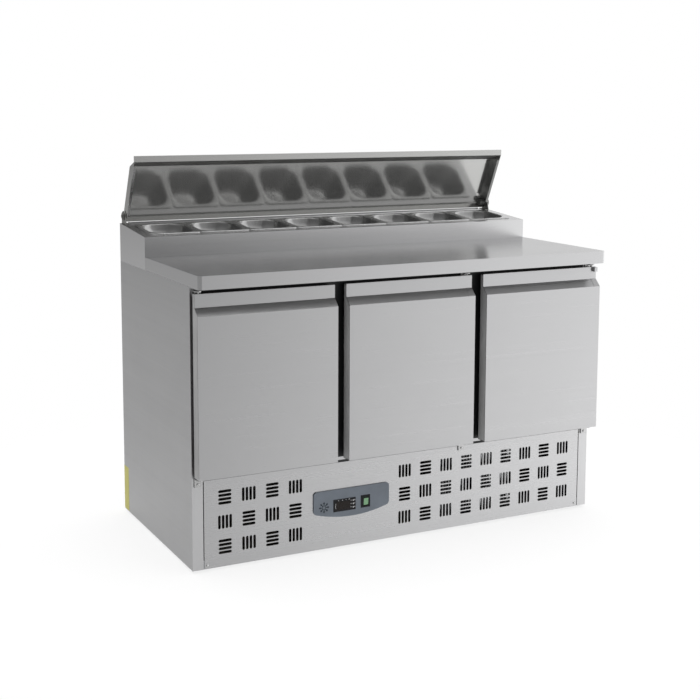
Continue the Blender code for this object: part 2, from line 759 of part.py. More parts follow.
def make_door(number, left, hinged_left):
    """One door: folded skin with a set-back grip band, inner sheet and gasket."""
    right = left + DOOR_WIDTH
    pivot_x = left + PIVOT_INSET if hinged_left else right - PIVOT_INSET
    axis = add_empty(f"door_{number}_axis", (pivot_x, PIVOT_Y, 0.0))
    to_axis = (-pivot_x, -PIVOT_Y, 0.0)
    back_plane = DOOR_FRONT + GRIP_DEPTH
    outline = [
        (DOOR_FRONT, DOOR_BOTTOM),
        (DOOR_FRONT, GRIP_LOW),
        (back_plane, GRIP_HIGH),
        (back_plane, DOOR_TOP),
        (DOOR_BACK, DOOR_TOP),
        (DOOR_BACK, DOOR_BOTTOM),
    ]
    skin = prism(f"door_{number}_skin", outline, "X", left, right, STEEL, axis, to_axis)
    t = THIN_SHEET
    inner = [
        (DOOR_FRONT + t, DOOR_BOTTOM + t),
        (DOOR_FRONT + t, GRIP_LOW - t * 0.4),
        (back_plane + t, GRIP_HIGH - t * 0.4),
        (back_plane + t, DOOR_TOP - t),
        (DOOR_BACK + OVERCUT, DOOR_TOP - t),
        (DOOR_BACK + OVERCUT, DOOR_BOTTOM + t),
    ]
    bm = bmesh.new()
    add_prism(bm, inner, "X", left + t, right - t)
    combine(skin, "DIFFERENCE", bm, "hollow", axis, to_axis)
    holes = [
        ((pivot_x, PIVOT_Y, z), PIN_HOLE_RADIUS, 0.01, "Z", 16)
        for z in (DOOR_BOTTOM, DOOR_TOP)
    ]
    cut_cylinders(skin, holes, "pin_holes", axis, to_axis)

    rest = t + GAP
    box(
        f"door_{number}_inner",
        (left + rest, DOOR_BACK - SHEET, DOOR_BOTTOM + rest),
        (right - rest, DOOR_BACK, DOOR_TOP - rest),
        LINER_STEEL,
        axis,
        to_axis,
    )

    ring_low = (left + GASKET_INSET, DOOR_BACK + GAP, DOOR_BOTTOM + GASKET_INSET)
    ring_high = (right - GASKET_INSET, BODY_FRONT - GAP, DOOR_TOP - GASKET_INSET)
    gasket = box(f"door_{number}_gasket", ring_low, ring_high, RUBBER, axis, to_axis)
    hole_low = (ring_low[0] + GASKET_WIDTH, DOOR_BACK - OVERCUT, ring_low[2] + GASKET_WIDTH)
    hole_high = (ring_high[0] - GASKET_WIDTH, BODY_FRONT + OVERCUT, ring_high[2] - GASKET_WIDTH)
    cut_boxes(gasket, [(hole_low, hole_high)], "hole", axis, to_axis)
    return pivot_x


def make_bracket(name, pivot_x, wall, plate_low, tab_span, pin_span):
    """Hinge bracket: a plate with a round nose under the pin, and a tab against the body."""
    outline = [(pivot_x + BRACKET_NOSE, wall), (pivot_x - BRACKET_NOSE, wall)]
    for step in range(9):
        angle = math.pi + math.pi * step / 8
        across, depth = BRACKET_NOSE * math.cos(angle), BRACKET_NOSE * math.sin(angle)
        outline.append((pivot_x + across, PIVOT_Y + depth))
    plate = prism(name, outline, "Z", plate_low, plate_low + BRACKET_SHEET, STEEL)
    tab = (
        (pivot_x - BRACKET_NOSE, wall - BRACKET_SHEET, tab_span[0]),
        (pivot_x + BRACKET_NOSE, wall, tab_span[1]),
    )
    join_boxes(plate, [tab], "tab")
    pin_length = pin_span[1] - pin_span[0]
    pin = ((pivot_x, PIVOT_Y, pin_span[0] + pin_length / 2), PIN_RADIUS, pin_length, "Z", 16)
    return smooth(join_cylinder(plate, pin, "pin"))


def make_doors():
    for number, (left, hinged_left) in enumerate(zip(DOOR_LEFTS, HINGED_LEFT), 1):
        pivot_x = make_door(number, left, hinged_left)
        low, high = BRACKET_TOP_Z, BRACKET_TOP_Z + BRACKET_SHEET
        tab = (high - BRACKET_TOP_TAB, high)
        pin = (DOOR_TOP - PIN_REACH, low + BRACKET_SHEET / 2)
        make_bracket(f"door_{number}_hinge_top", pivot_x, BODY_FRONT - GAP, low, tab, pin)
        low, high = BRACKET_BOTTOM_Z, BRACKET_BOTTOM_Z + BRACKET_SHEET
        tab = (low - BRACKET_BOTTOM_TAB, high)
        pin = (low + BRACKET_SHEET / 2, DOOR_BOTTOM + PIN_REACH)
        wall = BODY_FRONT - SILL_SHEET - 2 * GAP
        make_bracket(f"door_{number}_hinge_bottom", pivot_x, wall, low, tab, pin)


# ---- plinth and controls


def slot_groups():
    """Centre of every group of slots, and whether its slots lie flat."""
    groups = []
    for row, z in enumerate(GROUP_ROWS):
        for column in range(LEFT_GROUP_COLUMNS):
            x = LEFT_GROUP_START + column * GROUP_PITCH
            groups.append((x, z, (row + column) % 2 == 0))
        for column in range(RIGHT_GROUP_COLUMNS):
            x = RIGHT_GROUP_START + column * GROUP_PITCH
            groups.append((x, z, (row + column) % 2 == 1))
    return groups


def make_vent_panel():
    y = BODY_FRONT
    t = THIN_SHEET
    outline = [
        (y, FLOOR_GAP),
        (y, PLINTH_TOP),
        (y + PANEL_RETURN, PLINTH_TOP),
        (y + PANEL_RETURN, PLINTH_TOP - t),
        (y + t, PLINTH_TOP - t),
        (y + t, FLOOR_GAP),
    ]
    panel = prism("vent_panel", outline, "X", -PANEL_HALF_WIDTH, PANEL_HALF_WIDTH, STEEL)
    near, far = y - OVERCUT, y + t + 0.001
    slots = []
    for x, z, flat in slot_groups():
        half_x, half_z = SLOT_WIDTH / 2, SLOT_LENGTH / 2
        if flat:
            half_x, half_z = half_z, half_x
        for k in range(SLOTS_IN_GROUP):
            shift = (k - (SLOTS_IN_GROUP - 1) / 2) * SLOT_PITCH
            middle_x, middle_z = (x, z + shift) if flat else (x + shift, z)
            low = (middle_x - half_x, near, middle_z - half_z)
            slots.append((low, (middle_x + half_x, far, middle_z + half_z)))
    cut_boxes(panel, slots, "slots")
    return cut_boxes(panel, control_windows(0.001), "windows")


def control_windows(margin):
    """Cutting boxes around the controller and the switch."""
    near, far = BODY_FRONT - OVERCUT, BODY_FRONT + THIN_SHEET + 0.001
    windows = []
    for low, high in ((CONTROLLER_LOW, CONTROLLER_HIGH), (SWITCH_LOW, SWITCH_HIGH)):
        corner = (low.x - margin, near, low.z - margin)
        windows.append((corner, (high.x + margin, far, high.z + margin)))
    return windows


def make_control_plate():
    """Plate with round upper corners and a bowed lower edge, with two windows."""
    half = (PLATE_RIGHT - PLATE_LEFT) / 2
    middle = (PLATE_RIGHT + PLATE_LEFT) / 2
    radius = (half**2 + PLATE_SAG**2) / (2 * PLATE_SAG)
    reach = math.asin(half / radius)
    outline = []
    corner = PLATE_CORNER
    for sign, start in ((1, 0.0), (-1, math.pi / 2)):
        centre = (middle + sign * (half - corner), PLATE_TOP - corner)
        for step in range(5):
            angle = start + math.pi / 2 * step / 4
            across, rise = corner * math.cos(angle), corner * math.sin(angle)
            outline.append((centre[0] + across, centre[1] + rise))
    outline.append((PLATE_LEFT, PLATE_SIDE_BOTTOM + 0.006))
    arc_centre = PLATE_SIDE_BOTTOM - PLATE_SAG + radius
    for step in range(17):
        angle = -reach * 0.96 + 2 * reach * 0.96 * step / 16
        outline.append(
            (middle + radius * math.sin(angle), arc_centre - radius * math.cos(angle))
        )
    outline.append((PLATE_RIGHT, PLATE_SIDE_BOTTOM + 0.006))
    back = BODY_FRONT - GAP
    plate = prism("control_plate", outline, "Y", PLATE_FRONT, back, SLATE_PLASTIC)
    return smooth(cut_boxes(plate, control_windows(GAP), "windows"))


def make_controller():
    body = box("controller", CONTROLLER_LOW, CONTROLLER_HIGH, BLACK_PLASTIC)
    front = CONTROLLER_LOW.y
    pockets = [((KEY_X, front, z), KEY_RADIUS + GAP, 0.008, "Y", 16) for z in KEY_HEIGHTS]
    cut_cylinders(body, pockets, "key_pockets")
    for number, z in enumerate(KEY_HEIGHTS, 1):
        bm = bmesh.new()
        start, end = front - 0.0010, front + 0.0030
        add_cylinder(bm, (0.0, (start + end) / 2 - front, 0.0), KEY_RADIUS, end - start, "Y", 16)
        smooth(add_object(f"key_{number}", bm, KEY_PLASTIC, None, (KEY_X, front, z)))


def make_power_switch():
    """Switch housing with a window, and a rocker that tips about its middle."""
    low, high = SWITCH_LOW, SWITCH_HIGH
    housing = box("switch_housing", low, high, BLACK_PLASTIC)
    border = SWITCH_BORDER
    pocket = (
        (low.x + border, low.y - OVERCUT, low.z + border),
        (high.x - border, low.y + SWITCH_POCKET, high.z - border),
    )
    cut_boxes(housing, [pocket], "pocket")
    axis_y = low.y + ROCKER_AXIS_DEPTH
    middle_z = (low.z + high.z) / 2
    half_height = (high.z - low.z) / 2 - border - ROCKER_END_GAP
    across, rise = half_height * math.sin(ROCKER_TILT), half_height * math.cos(ROCKER_TILT)
    tip = ROCKER_FACE * math.cos(ROCKER_TILT)
    outline = [
        (-ROCKER_FACE, 0.0),
        (-tip - across, rise),
        (0.0015, half_height * 0.90),
        (0.0050, 0.0),
        (0.0015, -half_height * 0.90),
        (-tip + across * 0.4, -rise),
    ]
    half_width = (high.x - low.x) / 2 - border - ROCKER_SIDE_GAP
    middle_x = (low.x + high.x) / 2
    return prism(
        "rocker_switch",
        outline,
        "X",
        -half_width,
        half_width,
        GREEN_LENS,
        None,
        (middle_x, axis_y, middle_z),
    )


# ---- shelves


def make_shelves():
    """Wire shelf of every bay: a rim and bars from front to back."""
    walls = [-LINER_HALF_WIDTH, *post_centres(), LINER_HALF_WIDTH]
    rim, wire = SHELF_RIM, SHELF_WIRE
    for number, (a, b) in enumerate(zip(walls, walls[1:]), 1):
        middle = (a + b) / 2
        low = Vector((middle - SHELF_WIDTH / 2, SHELF_FRONT, SHELF_Z))
        high = Vector((middle + SHELF_WIDTH / 2, SHELF_BACK, SHELF_Z + wire))
        shelf = box(f"shelf_{number}", low, high, BRIGHT_STEEL)
        pitch = (SHELF_WIDTH - 2 * rim + wire) / SHELF_BARS
        gaps = []
        for i in range(SHELF_BARS):
            start = low.x + rim + i * pitch
            near = (start, low.y + rim, low.z - OVERCUT)
            far = (start + pitch - wire, high.y - rim, high.z + OVERCUT)
            gaps.append((near, far))
        cut_boxes(shelf, gaps, "gaps")


# ---- refrigeration


def make_compressor():
    """Hermetic compressor: domed shell on a mounting plate."""
    radius, height = 0.075, 0.165
    lift = 0.010
    profile = [(0.0, height)]
    profile += [
        (radius * math.sin(a), height - 0.045 + 0.045 * math.cos(a))
        for a in (math.pi / 8, math.pi / 4, 3 * math.pi / 8, math.pi / 2)
    ]
    profile += [(radius * 1.04, 0.085), (radius, 0.075)]
    profile += [(radius, 0.040), (radius * 0.80, lift + 0.004), (0.0, lift + 0.004)]
    bm = bmesh.new()
    add_lathe(bm, profile, COMPRESSOR_AT, 24)
    shell = add_object("compressor", bm, BLACK_PAINT)
    at = COMPRESSOR_AT
    plate = (
        (at.x - 0.085, at.y - 0.060, at.z),
        (at.x + 0.085, at.y + 0.060, at.z + lift + 0.006),
    )
    return smooth(join_boxes(shell, [plate], "plate"))


def make_condenser():
    low, high = CONDENSER_LOW, CONDENSER_HIGH
    outline = comb_outline((low.x, low.y), (high.x, high.y), FIN_COUNT, 0.040)
    return prism("condenser", outline, "Z", low.z, high.z, ALUMINIUM)


def fan_centre():
    middle = (CONDENSER_LOW + CONDENSER_HIGH) / 2
    return Vector((middle.x, FAN_Y, middle.z))


def make_fan():
    """Hub and five pitched blades about the axis along Y."""
    bm = bmesh.new()
    add_cylinder(bm, (0.0, 0.0, 0.0), FAN_HUB_RADIUS, 0.022, "Y", 20)
    fan = add_object("condenser_fan", bm, BLACK_PLASTIC, None, fan_centre())
    for i in range(FAN_BLADES):
        bm = bmesh.new()
        verts = add_box(bm, (-0.016, -0.0010, 0.014), (0.016, 0.0010, FAN_RADIUS))
        pitch = Matrix.Rotation(FAN_PITCH, 4, "Z")
        around = Matrix.Rotation(2 * math.pi * i / FAN_BLADES, 4, "Y")
        bmesh.ops.transform(bm, matrix=around @ pitch, verts=verts)
        combine(fan, "UNION", bm, f"blade_{i + 1}", None, fan_centre())
    return fan


def make_fan_shroud():
    """Duct behind the condenser, with a spider that carries the motor."""
    low, high = CONDENSER_LOW, CONDENSER_HIGH
    centre = fan_centre()
    front, back = high.y + GAP, high.y + SHROUD_DEPTH
    shroud_low, shroud_high = (low.x + 0.03, front, low.z), (high.x - 0.03, back, high.z)
    shroud = box("fan_shroud", shroud_low, shroud_high, GALVANISED)
    bore = ((centre.x, (front + back) / 2, centre.z), FAN_RADIUS + 0.005, 0.08, "Y", 32)
    cut_cylinders(shroud, [bore], "bore")
    reach = FAN_RADIUS + 0.010
    bars = []
    for half_x, half_z in ((reach, SPIDER_HALF), (SPIDER_HALF, reach)):
        near = (centre.x - half_x, back - 0.004, centre.z - half_z)
        bars.append((near, (centre.x + half_x, back + 0.006, centre.z + half_z)))
    join_boxes(shroud, bars, "bar")
    motor = ((centre.x, back + 0.0200, centre.z), MOTOR_RADIUS, MOTOR_LENGTH, "Y", 24)
    return join_cylinder(shroud, motor, "motor")


def make_evaporator():
    low, high = EVAPORATOR_LOW, EVAPORATOR_HIGH
    outline = comb_outline((low.x, low.y), (high.x, high.y), FIN_COUNT, 0.020)
    return prism("evaporator", outline, "Z", low.z, high.z, ALUMINIUM)


def make_suction_pipe():
    """Pipe from the compressor up through the floor to the evaporator."""
    at = COMPRESSOR_AT
    side = EVAPORATOR_HIGH.x + 0.0006
    hole = PIPE_HOLE
    route = [
        Vector((at.x - 0.0795, at.y, 0.120)),
        Vector((at.x - 0.115, at.y, 0.120)),
        Vector((hole.x + 0.02, at.y + 0.06, 0.135)),
        Vector((hole.x, hole.y, 0.190)),
        Vector((hole.x, hole.y, 0.235)),
        Vector((hole.x, hole.y, 0.300)),
        Vector((hole.x, hole.y, 0.420)),
        Vector((hole.x, hole.y, 0.590)),
        Vector((hole.x + 0.006, hole.y + 0.016, 0.650)),
        Vector((side + 0.0160, 0.2820, 0.680)),
        Vector((side, 0.2820, 0.680)),
    ]
    curve = bpy.data.curves.new("suction_pipe", "CURVE")
    curve.dimensions = "3D"
    curve.bevel_depth = PIPE_RADIUS
    curve.bevel_resolution = 1
    curve.use_fill_caps = True
    points = smooth_route(route, 6)
    spline = curve.splines.new("POLY")
    spline.points.add(len(points) - 1)
    for slot, point in zip(spline.points, points):
        slot.co = (*point, 1.0)
    curve.materials.append(COPPER)
    pipe = bpy.data.objects.new("suction_pipe", curve)
    bpy.context.scene.collection.objects.link(pipe)
    return pipe


def smooth_route(route, steps):
    """Points along a Catmull-Rom curve through the route."""
    ends = [2 * route[0] - route[1], *route, 2 * route[-1] - route[-2]]
    points = []
    for a, b, c, d in zip(ends, ends[1:], ends[2:], ends[3:]):
        for step in range(steps):
            t = step / steps
            points.append(
                0.5
                * (
                    2 * b
                    + (c - a) * t
                    + (2 * a - 5 * b + 4 * c - d) * t**2
                    + (3 * b - a - 3 * c + d) * t**3
                )
            )
    return [*points, route[-1]]


def make_cable_gland():
    """Mains inlet gland through the back panel."""
    nut_middle = BACK_PANEL_Y + SHEET + GAP + GLAND_NUT_LENGTH / 2
    bm = bmesh.new()
    add_cylinder(bm, (GLAND_X, nut_middle, GLAND_Z), GLAND_NUT_RADIUS, GLAND_NUT_LENGTH, "Y", 6)
    gland = add_object("cable_gland", bm, BLACK_PLASTIC)
    shank = ((GLAND_X, BACK_PANEL_Y, GLAND_Z), GLAND_SHANK_RADIUS, 0.0200, "Y", 20)
    return join_cylinder(gland, shank, "shank")


def build():
    well_plane = add_empty("well_plane", (0.0, HOUSING_FRONT, HOUSING_FRONT_TOP), WELL_SLOPE)
    lid_axis = add_empty("lid_axis", (0.0, LID_AXIS_Y, LID_AXIS_Z), -LID_OPEN_ANGLE)

    make_side_panel(-1)
    make_side_panel(1)
    make_back_panel()
    make_base_tray()
    make_feet()
    make_cabinet_liner()
    make_insulation()
    make_front_frame()
    make_sill_strip()

    make_worktop()
    make_worktop_core()
    make_well_housing(well_plane)
    make_pan_rack(well_plane)
    make_pans(well_plane)
    make_lid(lid_axis)
    make_lid_hinge(-1, well_plane)
    make_lid_hinge(1, well_plane)

    make_doors()
    make_vent_panel()
    make_control_plate()
    make_controller()
    make_power_switch()
    make_shelves()

    make_compressor()
    make_condenser()
    make_fan()
    make_fan_shroud()
    make_evaporator()
    make_suction_pipe()
    make_cable_gland()


build()
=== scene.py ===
"""Looks for the refrigerated preparation counter: finishes, fine shapes, studio and camera.

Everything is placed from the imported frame: metres, +Z up, -Y is the front.
"""

import json
import math

import bmesh
import bpy
from mathutils import Matrix, Vector


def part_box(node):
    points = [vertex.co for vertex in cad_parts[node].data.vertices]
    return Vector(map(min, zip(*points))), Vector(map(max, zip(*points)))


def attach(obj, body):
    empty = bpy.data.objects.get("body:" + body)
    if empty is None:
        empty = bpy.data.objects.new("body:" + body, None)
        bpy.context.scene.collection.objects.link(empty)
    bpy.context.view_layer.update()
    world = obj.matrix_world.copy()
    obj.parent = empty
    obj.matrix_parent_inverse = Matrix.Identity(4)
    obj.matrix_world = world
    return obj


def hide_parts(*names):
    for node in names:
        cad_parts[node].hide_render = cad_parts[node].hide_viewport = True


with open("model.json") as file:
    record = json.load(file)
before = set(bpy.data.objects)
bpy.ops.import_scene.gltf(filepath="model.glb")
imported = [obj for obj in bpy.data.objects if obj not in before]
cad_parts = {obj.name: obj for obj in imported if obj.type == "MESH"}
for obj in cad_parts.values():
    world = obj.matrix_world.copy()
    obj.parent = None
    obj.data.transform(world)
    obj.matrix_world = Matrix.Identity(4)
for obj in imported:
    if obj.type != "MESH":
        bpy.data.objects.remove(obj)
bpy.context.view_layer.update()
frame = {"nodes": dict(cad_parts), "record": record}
NODES = frame["nodes"]
RECORD = frame["record"]

PAN_NAMES = [f"pan_{i}" for i in range(1, 9)]
SHELF_NAMES = [f"shelf_{i}" for i in range(1, 4)]
DOOR_NUMBERS = (1, 2, 3)


# ---- shader helpers


class Shader:
    """A new material with its Principled node, and short calls for the nodes that feed it."""

    def __init__(self, name):
        self.material = bpy.data.materials.new(name)
        self.material.use_nodes = True
        self.tree = self.material.node_tree
        self.principled = self.tree.nodes["Principled BSDF"]

    def node(self, kind, settings=None, **inputs):
        """Add a node. Underscores stand for the spaces in the names of its inputs."""
        made = self.tree.nodes.new(kind)
        for key, value in (settings or {}).items():
            setattr(made, key, value)
        for key, value in inputs.items():
            self.feed(made.inputs[key.replace("_", " ")], value)
        return made

    def feed(self, socket, value):
        """Link an output to an input, or give the input a plain value."""
        if isinstance(value, bpy.types.NodeSocket):
            self.tree.links.new(value, socket)
        else:
            socket.default_value = value

    def set(self, **inputs):
        """Feed inputs of the Principled node."""
        for key, value in inputs.items():
            self.feed(self.principled.inputs[key.replace("_", " ")], value)

    def place(self, scale=(1.0, 1.0, 1.0)):
        """Object coordinates, scaled along each axis."""
        coordinates = self.node("ShaderNodeTexCoord").outputs["Object"]
        return self.node("ShaderNodeMapping", Vector=coordinates, Scale=scale).outputs["Vector"]

    def noise(self, scale, detail=2.0, stretch=(1.0, 1.0, 1.0), roughness=0.5):
        """Noise between 0 and 1."""
        settings = {"Scale": scale, "Detail": detail, "Roughness": roughness}
        return self.node("ShaderNodeTexNoise", Vector=self.place(stretch), **settings).outputs["Fac"]

    def span(self, value, low, high, start=0.0, end=1.0):
        """Map the range from start to end onto low to high."""
        made = self.node("ShaderNodeMapRange", Value=value)
        for key, number in zip(("From Min", "From Max", "To Min", "To Max"), (start, end, low, high)):
            made.inputs[key].default_value = number
        return made.outputs["Result"]

    def math(self, operation, a, b=0.0):
        """One operation on two values."""
        made = self.node("ShaderNodeMath", {"operation": operation})
        self.feed(made.inputs[0], a)
        self.feed(made.inputs[1], b)
        return made.outputs["Value"]

    def mix(self, factor, a, b):
        """Blend from colour a to colour b."""
        made = self.node("ShaderNodeMix", {"data_type": "RGBA"})
        self.feed(made.inputs["Factor"], factor)
        self.feed(made.inputs["A"], a)
        self.feed(made.inputs["B"], b)
        return made.outputs["Result"]

    def bump(self, height, strength, distance):
        """Raise the surface by a height."""
        made = self.node("ShaderNodeBump", Height=height, Strength=strength, Distance=distance)
        self.set(Normal=made.outputs["Normal"])


def rgba(colour, factor=1.0):
    """Opaque colour, made lighter or darker by a factor."""
    return tuple(min(1.0, c * factor) for c in colour) + (1.0,)


# Most values of a noise texture lie between these two.
NOISE_SPAN = (0.3, 0.7)

# Brushed sheet: scales of its two sets of lines, of the slow clouds and of the smears, per metre.
FINE_LINES = 420.0
COARSE_LINES = 90.0
CLOUDS = 2.3
SMEARS = 7.0
FINE_SHARE = 0.6
COARSE_SHARE = 0.4
LINE_SHADE = 0.035
CLOUD_SHADE = (0.95, 1.05)
SHADE_SPAN = (0.85, 1.15)
SMEAR_SPAN = (0.45, 0.75)
GRAIN_STRETCH = {"X": (0.004, 1.0, 1.0), "Y": (1.0, 0.004, 1.0), "Z": (1.0, 1.0, 0.004)}
ACROSS_GRAIN = {"X": (0.0, 0.6, 1.0), "Y": (0.6, 0.0, 1.0), "Z": (1.0, 0.7, 0.0)}


def brushed_metal(name, colour, roughness, grain, anisotropic=0.55, marks=0.10, metallic=1.0):
    """Rolled sheet with fine brushed lines along one axis, slow cloudy changes and faint smears."""
    shader = Shader(name)
    fine = shader.noise(FINE_LINES, 4.0, GRAIN_STRETCH[grain], 0.65)
    coarse = shader.noise(COARSE_LINES, 3.0, GRAIN_STRETCH[grain], 0.60)
    clouds = shader.noise(CLOUDS, 3.0)
    smears = shader.noise(SMEARS, 5.0, roughness=0.7)
    lines = shader.math(
        "ADD",
        shader.math("MULTIPLY", fine, FINE_SHARE),
        shader.math("MULTIPLY", coarse, COARSE_SHARE),
    )
    shade = shader.math(
        "ADD",
        shader.span(lines, -LINE_SHADE, LINE_SHADE, *NOISE_SPAN),
        shader.span(clouds, *CLOUD_SHADE, *NOISE_SPAN),
    )
    base = shader.mix(shader.span(shade, 0.0, 1.0, *SHADE_SPAN), rgba(colour, 0.97), rgba(colour, 1.03))
    rough = shader.math(
        "ADD",
        shader.span(lines, roughness - marks * 0.5, roughness + marks * 0.5, *NOISE_SPAN),
        shader.span(smears, 0.0, marks * 0.25, *SMEAR_SPAN),
    )
    across = shader.node("ShaderNodeCombineXYZ")
    for axis, value in zip("XYZ", ACROSS_GRAIN[grain]):
        across.inputs[axis].default_value = value
    shader.set(Base_Color=base, Metallic=metallic, Roughness=rough, Tangent=across.outputs["Vector"])
    shader.set(Anisotropic=anisotropic)
    shader.bump(lines, 0.035, 0.00025)
    return shader.material


def drawn_metal(name, colour, roughness, relief=0.25, metallic=1.0):
    """Deep-drawn polished sheet: soft waves and light rub marks."""
    shader = Shader(name)
    waves = shader.noise(16.0, 2.0)
    rubs = shader.noise(160.0, 5.0, (1.0, 1.0, 0.25), 0.7)
    rough = shader.math(
        "ADD",
        shader.span(rubs, roughness - 0.05, roughness + 0.06, *NOISE_SPAN),
        shader.span(waves, 0.0, 0.05),
    )
    base = shader.mix(shader.span(rubs, 0.0, 1.0, *NOISE_SPAN), rgba(colour, 0.93), rgba(colour, 1.05))
    shader.set(Base_Color=base, Metallic=metallic, Roughness=rough)
    shader.bump(shader.math("ADD", waves, shader.math("MULTIPLY", rubs, 0.06)), relief, 0.0012)
    return shader.material


def galvanised_metal(name, colour):
    """Zinc-coated sheet with the patchwork of its crystals."""
    shader = Shader(name)
    cells = shader.node("ShaderNodeTexVoronoi", Vector=shader.place(), Scale=70.0)
    tone = shader.node("ShaderNodeSeparateColor", Color=cells.outputs["Color"]).outputs["Red"]
    grime = shader.noise(9.0, 4.0)
    base = shader.mix(tone, rgba(colour, 0.80), rgba(colour, 1.15))
    base = shader.mix(shader.span(grime, 0.0, 0.25, 0.45, 0.8), base, rgba(colour, 0.55))
    shader.set(Base_Color=base, Metallic=0.9, Roughness=shader.span(tone, 0.32, 0.52))
    shader.bump(tone, 0.08, 0.0003)
    return shader.material


def plastic(name, colour, roughness, grain_scale=900.0, specular=0.5):
    """Moulded plastic with a fine texture and slight unevenness of colour."""
    shader = Shader(name)
    grain = shader.noise(grain_scale, 3.0)
    patches = shader.noise(14.0, 3.0)
    base = shader.mix(shader.span(patches, 0.0, 1.0, *NOISE_SPAN), rgba(colour, 0.90), rgba(colour, 1.10))
    rough = shader.span(grain, roughness - 0.05, roughness + 0.08, *NOISE_SPAN)
    shader.set(Base_Color=base, Metallic=0.0, Roughness=rough, Specular_IOR_Level=specular)
    shader.bump(grain, 0.12, 0.0002)
    return shader.material


def rubber(name, colour):
    """Soft black rubber with some dust on it."""
    shader = Shader(name)
    dust = shader.noise(45.0, 5.0, roughness=0.7)
    base = shader.mix(shader.span(dust, 0.0, 0.35, 0.45, 0.75), rgba(colour), rgba((0.09, 0.09, 0.09)))
    shader.set(Base_Color=base, Roughness=shader.span(dust, 0.55, 0.75))
    shader.bump(shader.noise(600.0, 2.0), 0.15, 0.0003)
    return shader.material


def foam_block(name, colour):
    """Expanded foam with open cells in its surface."""
    shader = Shader(name)
    cells = shader.node("ShaderNodeTexVoronoi", Vector=shader.place(), Scale=260.0)
    patches = shader.noise(8.0, 3.0)
    base = shader.mix(patches, rgba(colour, 0.86), rgba(colour, 1.08))
    shader.set(Base_Color=base, Roughness=0.9)
    shader.bump(cells.outputs["Distance"], 0.5, 0.0015)
    return shader.material


def chipboard(name, colour):
    """Pressed board of coarse wood flakes."""
    shader = Shader(name)
    flakes = shader.node("ShaderNodeTexVoronoi", Vector=shader.place((1.0, 2.4, 3.0)), Scale=120.0)
    tone = shader.node("ShaderNodeSeparateColor", Color=flakes.outputs["Color"]).outputs["Green"]
    base = shader.mix(tone, rgba(colour, 0.70), rgba(colour, 1.30))
    shader.set(Base_Color=base, Roughness=0.85)
    shader.bump(tone, 0.3, 0.0006)
    return shader.material


def enamel(name, colour, roughness):
    """Sprayed paint with a slight orange-peel surface."""
    shader = Shader(name)
    peel = shader.noise(240.0, 2.0)
    dust = shader.noise(20.0, 4.0)
    base = shader.mix(shader.span(dust, 0.0, 0.5, 0.4, 0.8), rgba(colour), rgba((0.10, 0.10, 0.10)))
    shader.set(Base_Color=base, Roughness=shader.span(dust, roughness, roughness + 0.15))
    shader.bump(peel, 0.15, 0.0006)
    return shader.material


def copper(name, colour):
    """Copper tube with brown stains."""
    shader = Shader(name)
    stains = shader.noise(60.0, 5.0, roughness=0.7)
    stained = shader.span(stains, 0.0, 1.0, 0.35, 0.75)
    base = shader.mix(stained, rgba(colour, 1.1), rgba((0.34, 0.18, 0.11)))
    shader.set(Base_Color=base, Metallic=1.0, Roughness=shader.span(stains, 0.22, 0.50))
    shader.bump(stains, 0.05, 0.0003)
    return shader.material


def glowing_lens(name, colour):
    """Ribbed green lens with the faint light of the lamp behind it."""
    shader = Shader(name)
    ribs = shader.node(
        "ShaderNodeTexWave", {"bands_direction": "Z"}, Vector=shader.place(), Scale=140.0
    ).outputs["Fac"]
    base = shader.mix(ribs, rgba(colour, 0.90), rgba(colour, 1.15))
    shader.set(Base_Color=base, Roughness=0.22, Emission_Color=base, Emission_Strength=0.10)
    shader.set(Coat_Weight=0.6, Coat_Roughness=0.06)
    shader.bump(ribs, 0.25, 0.0004)
    return shader.material


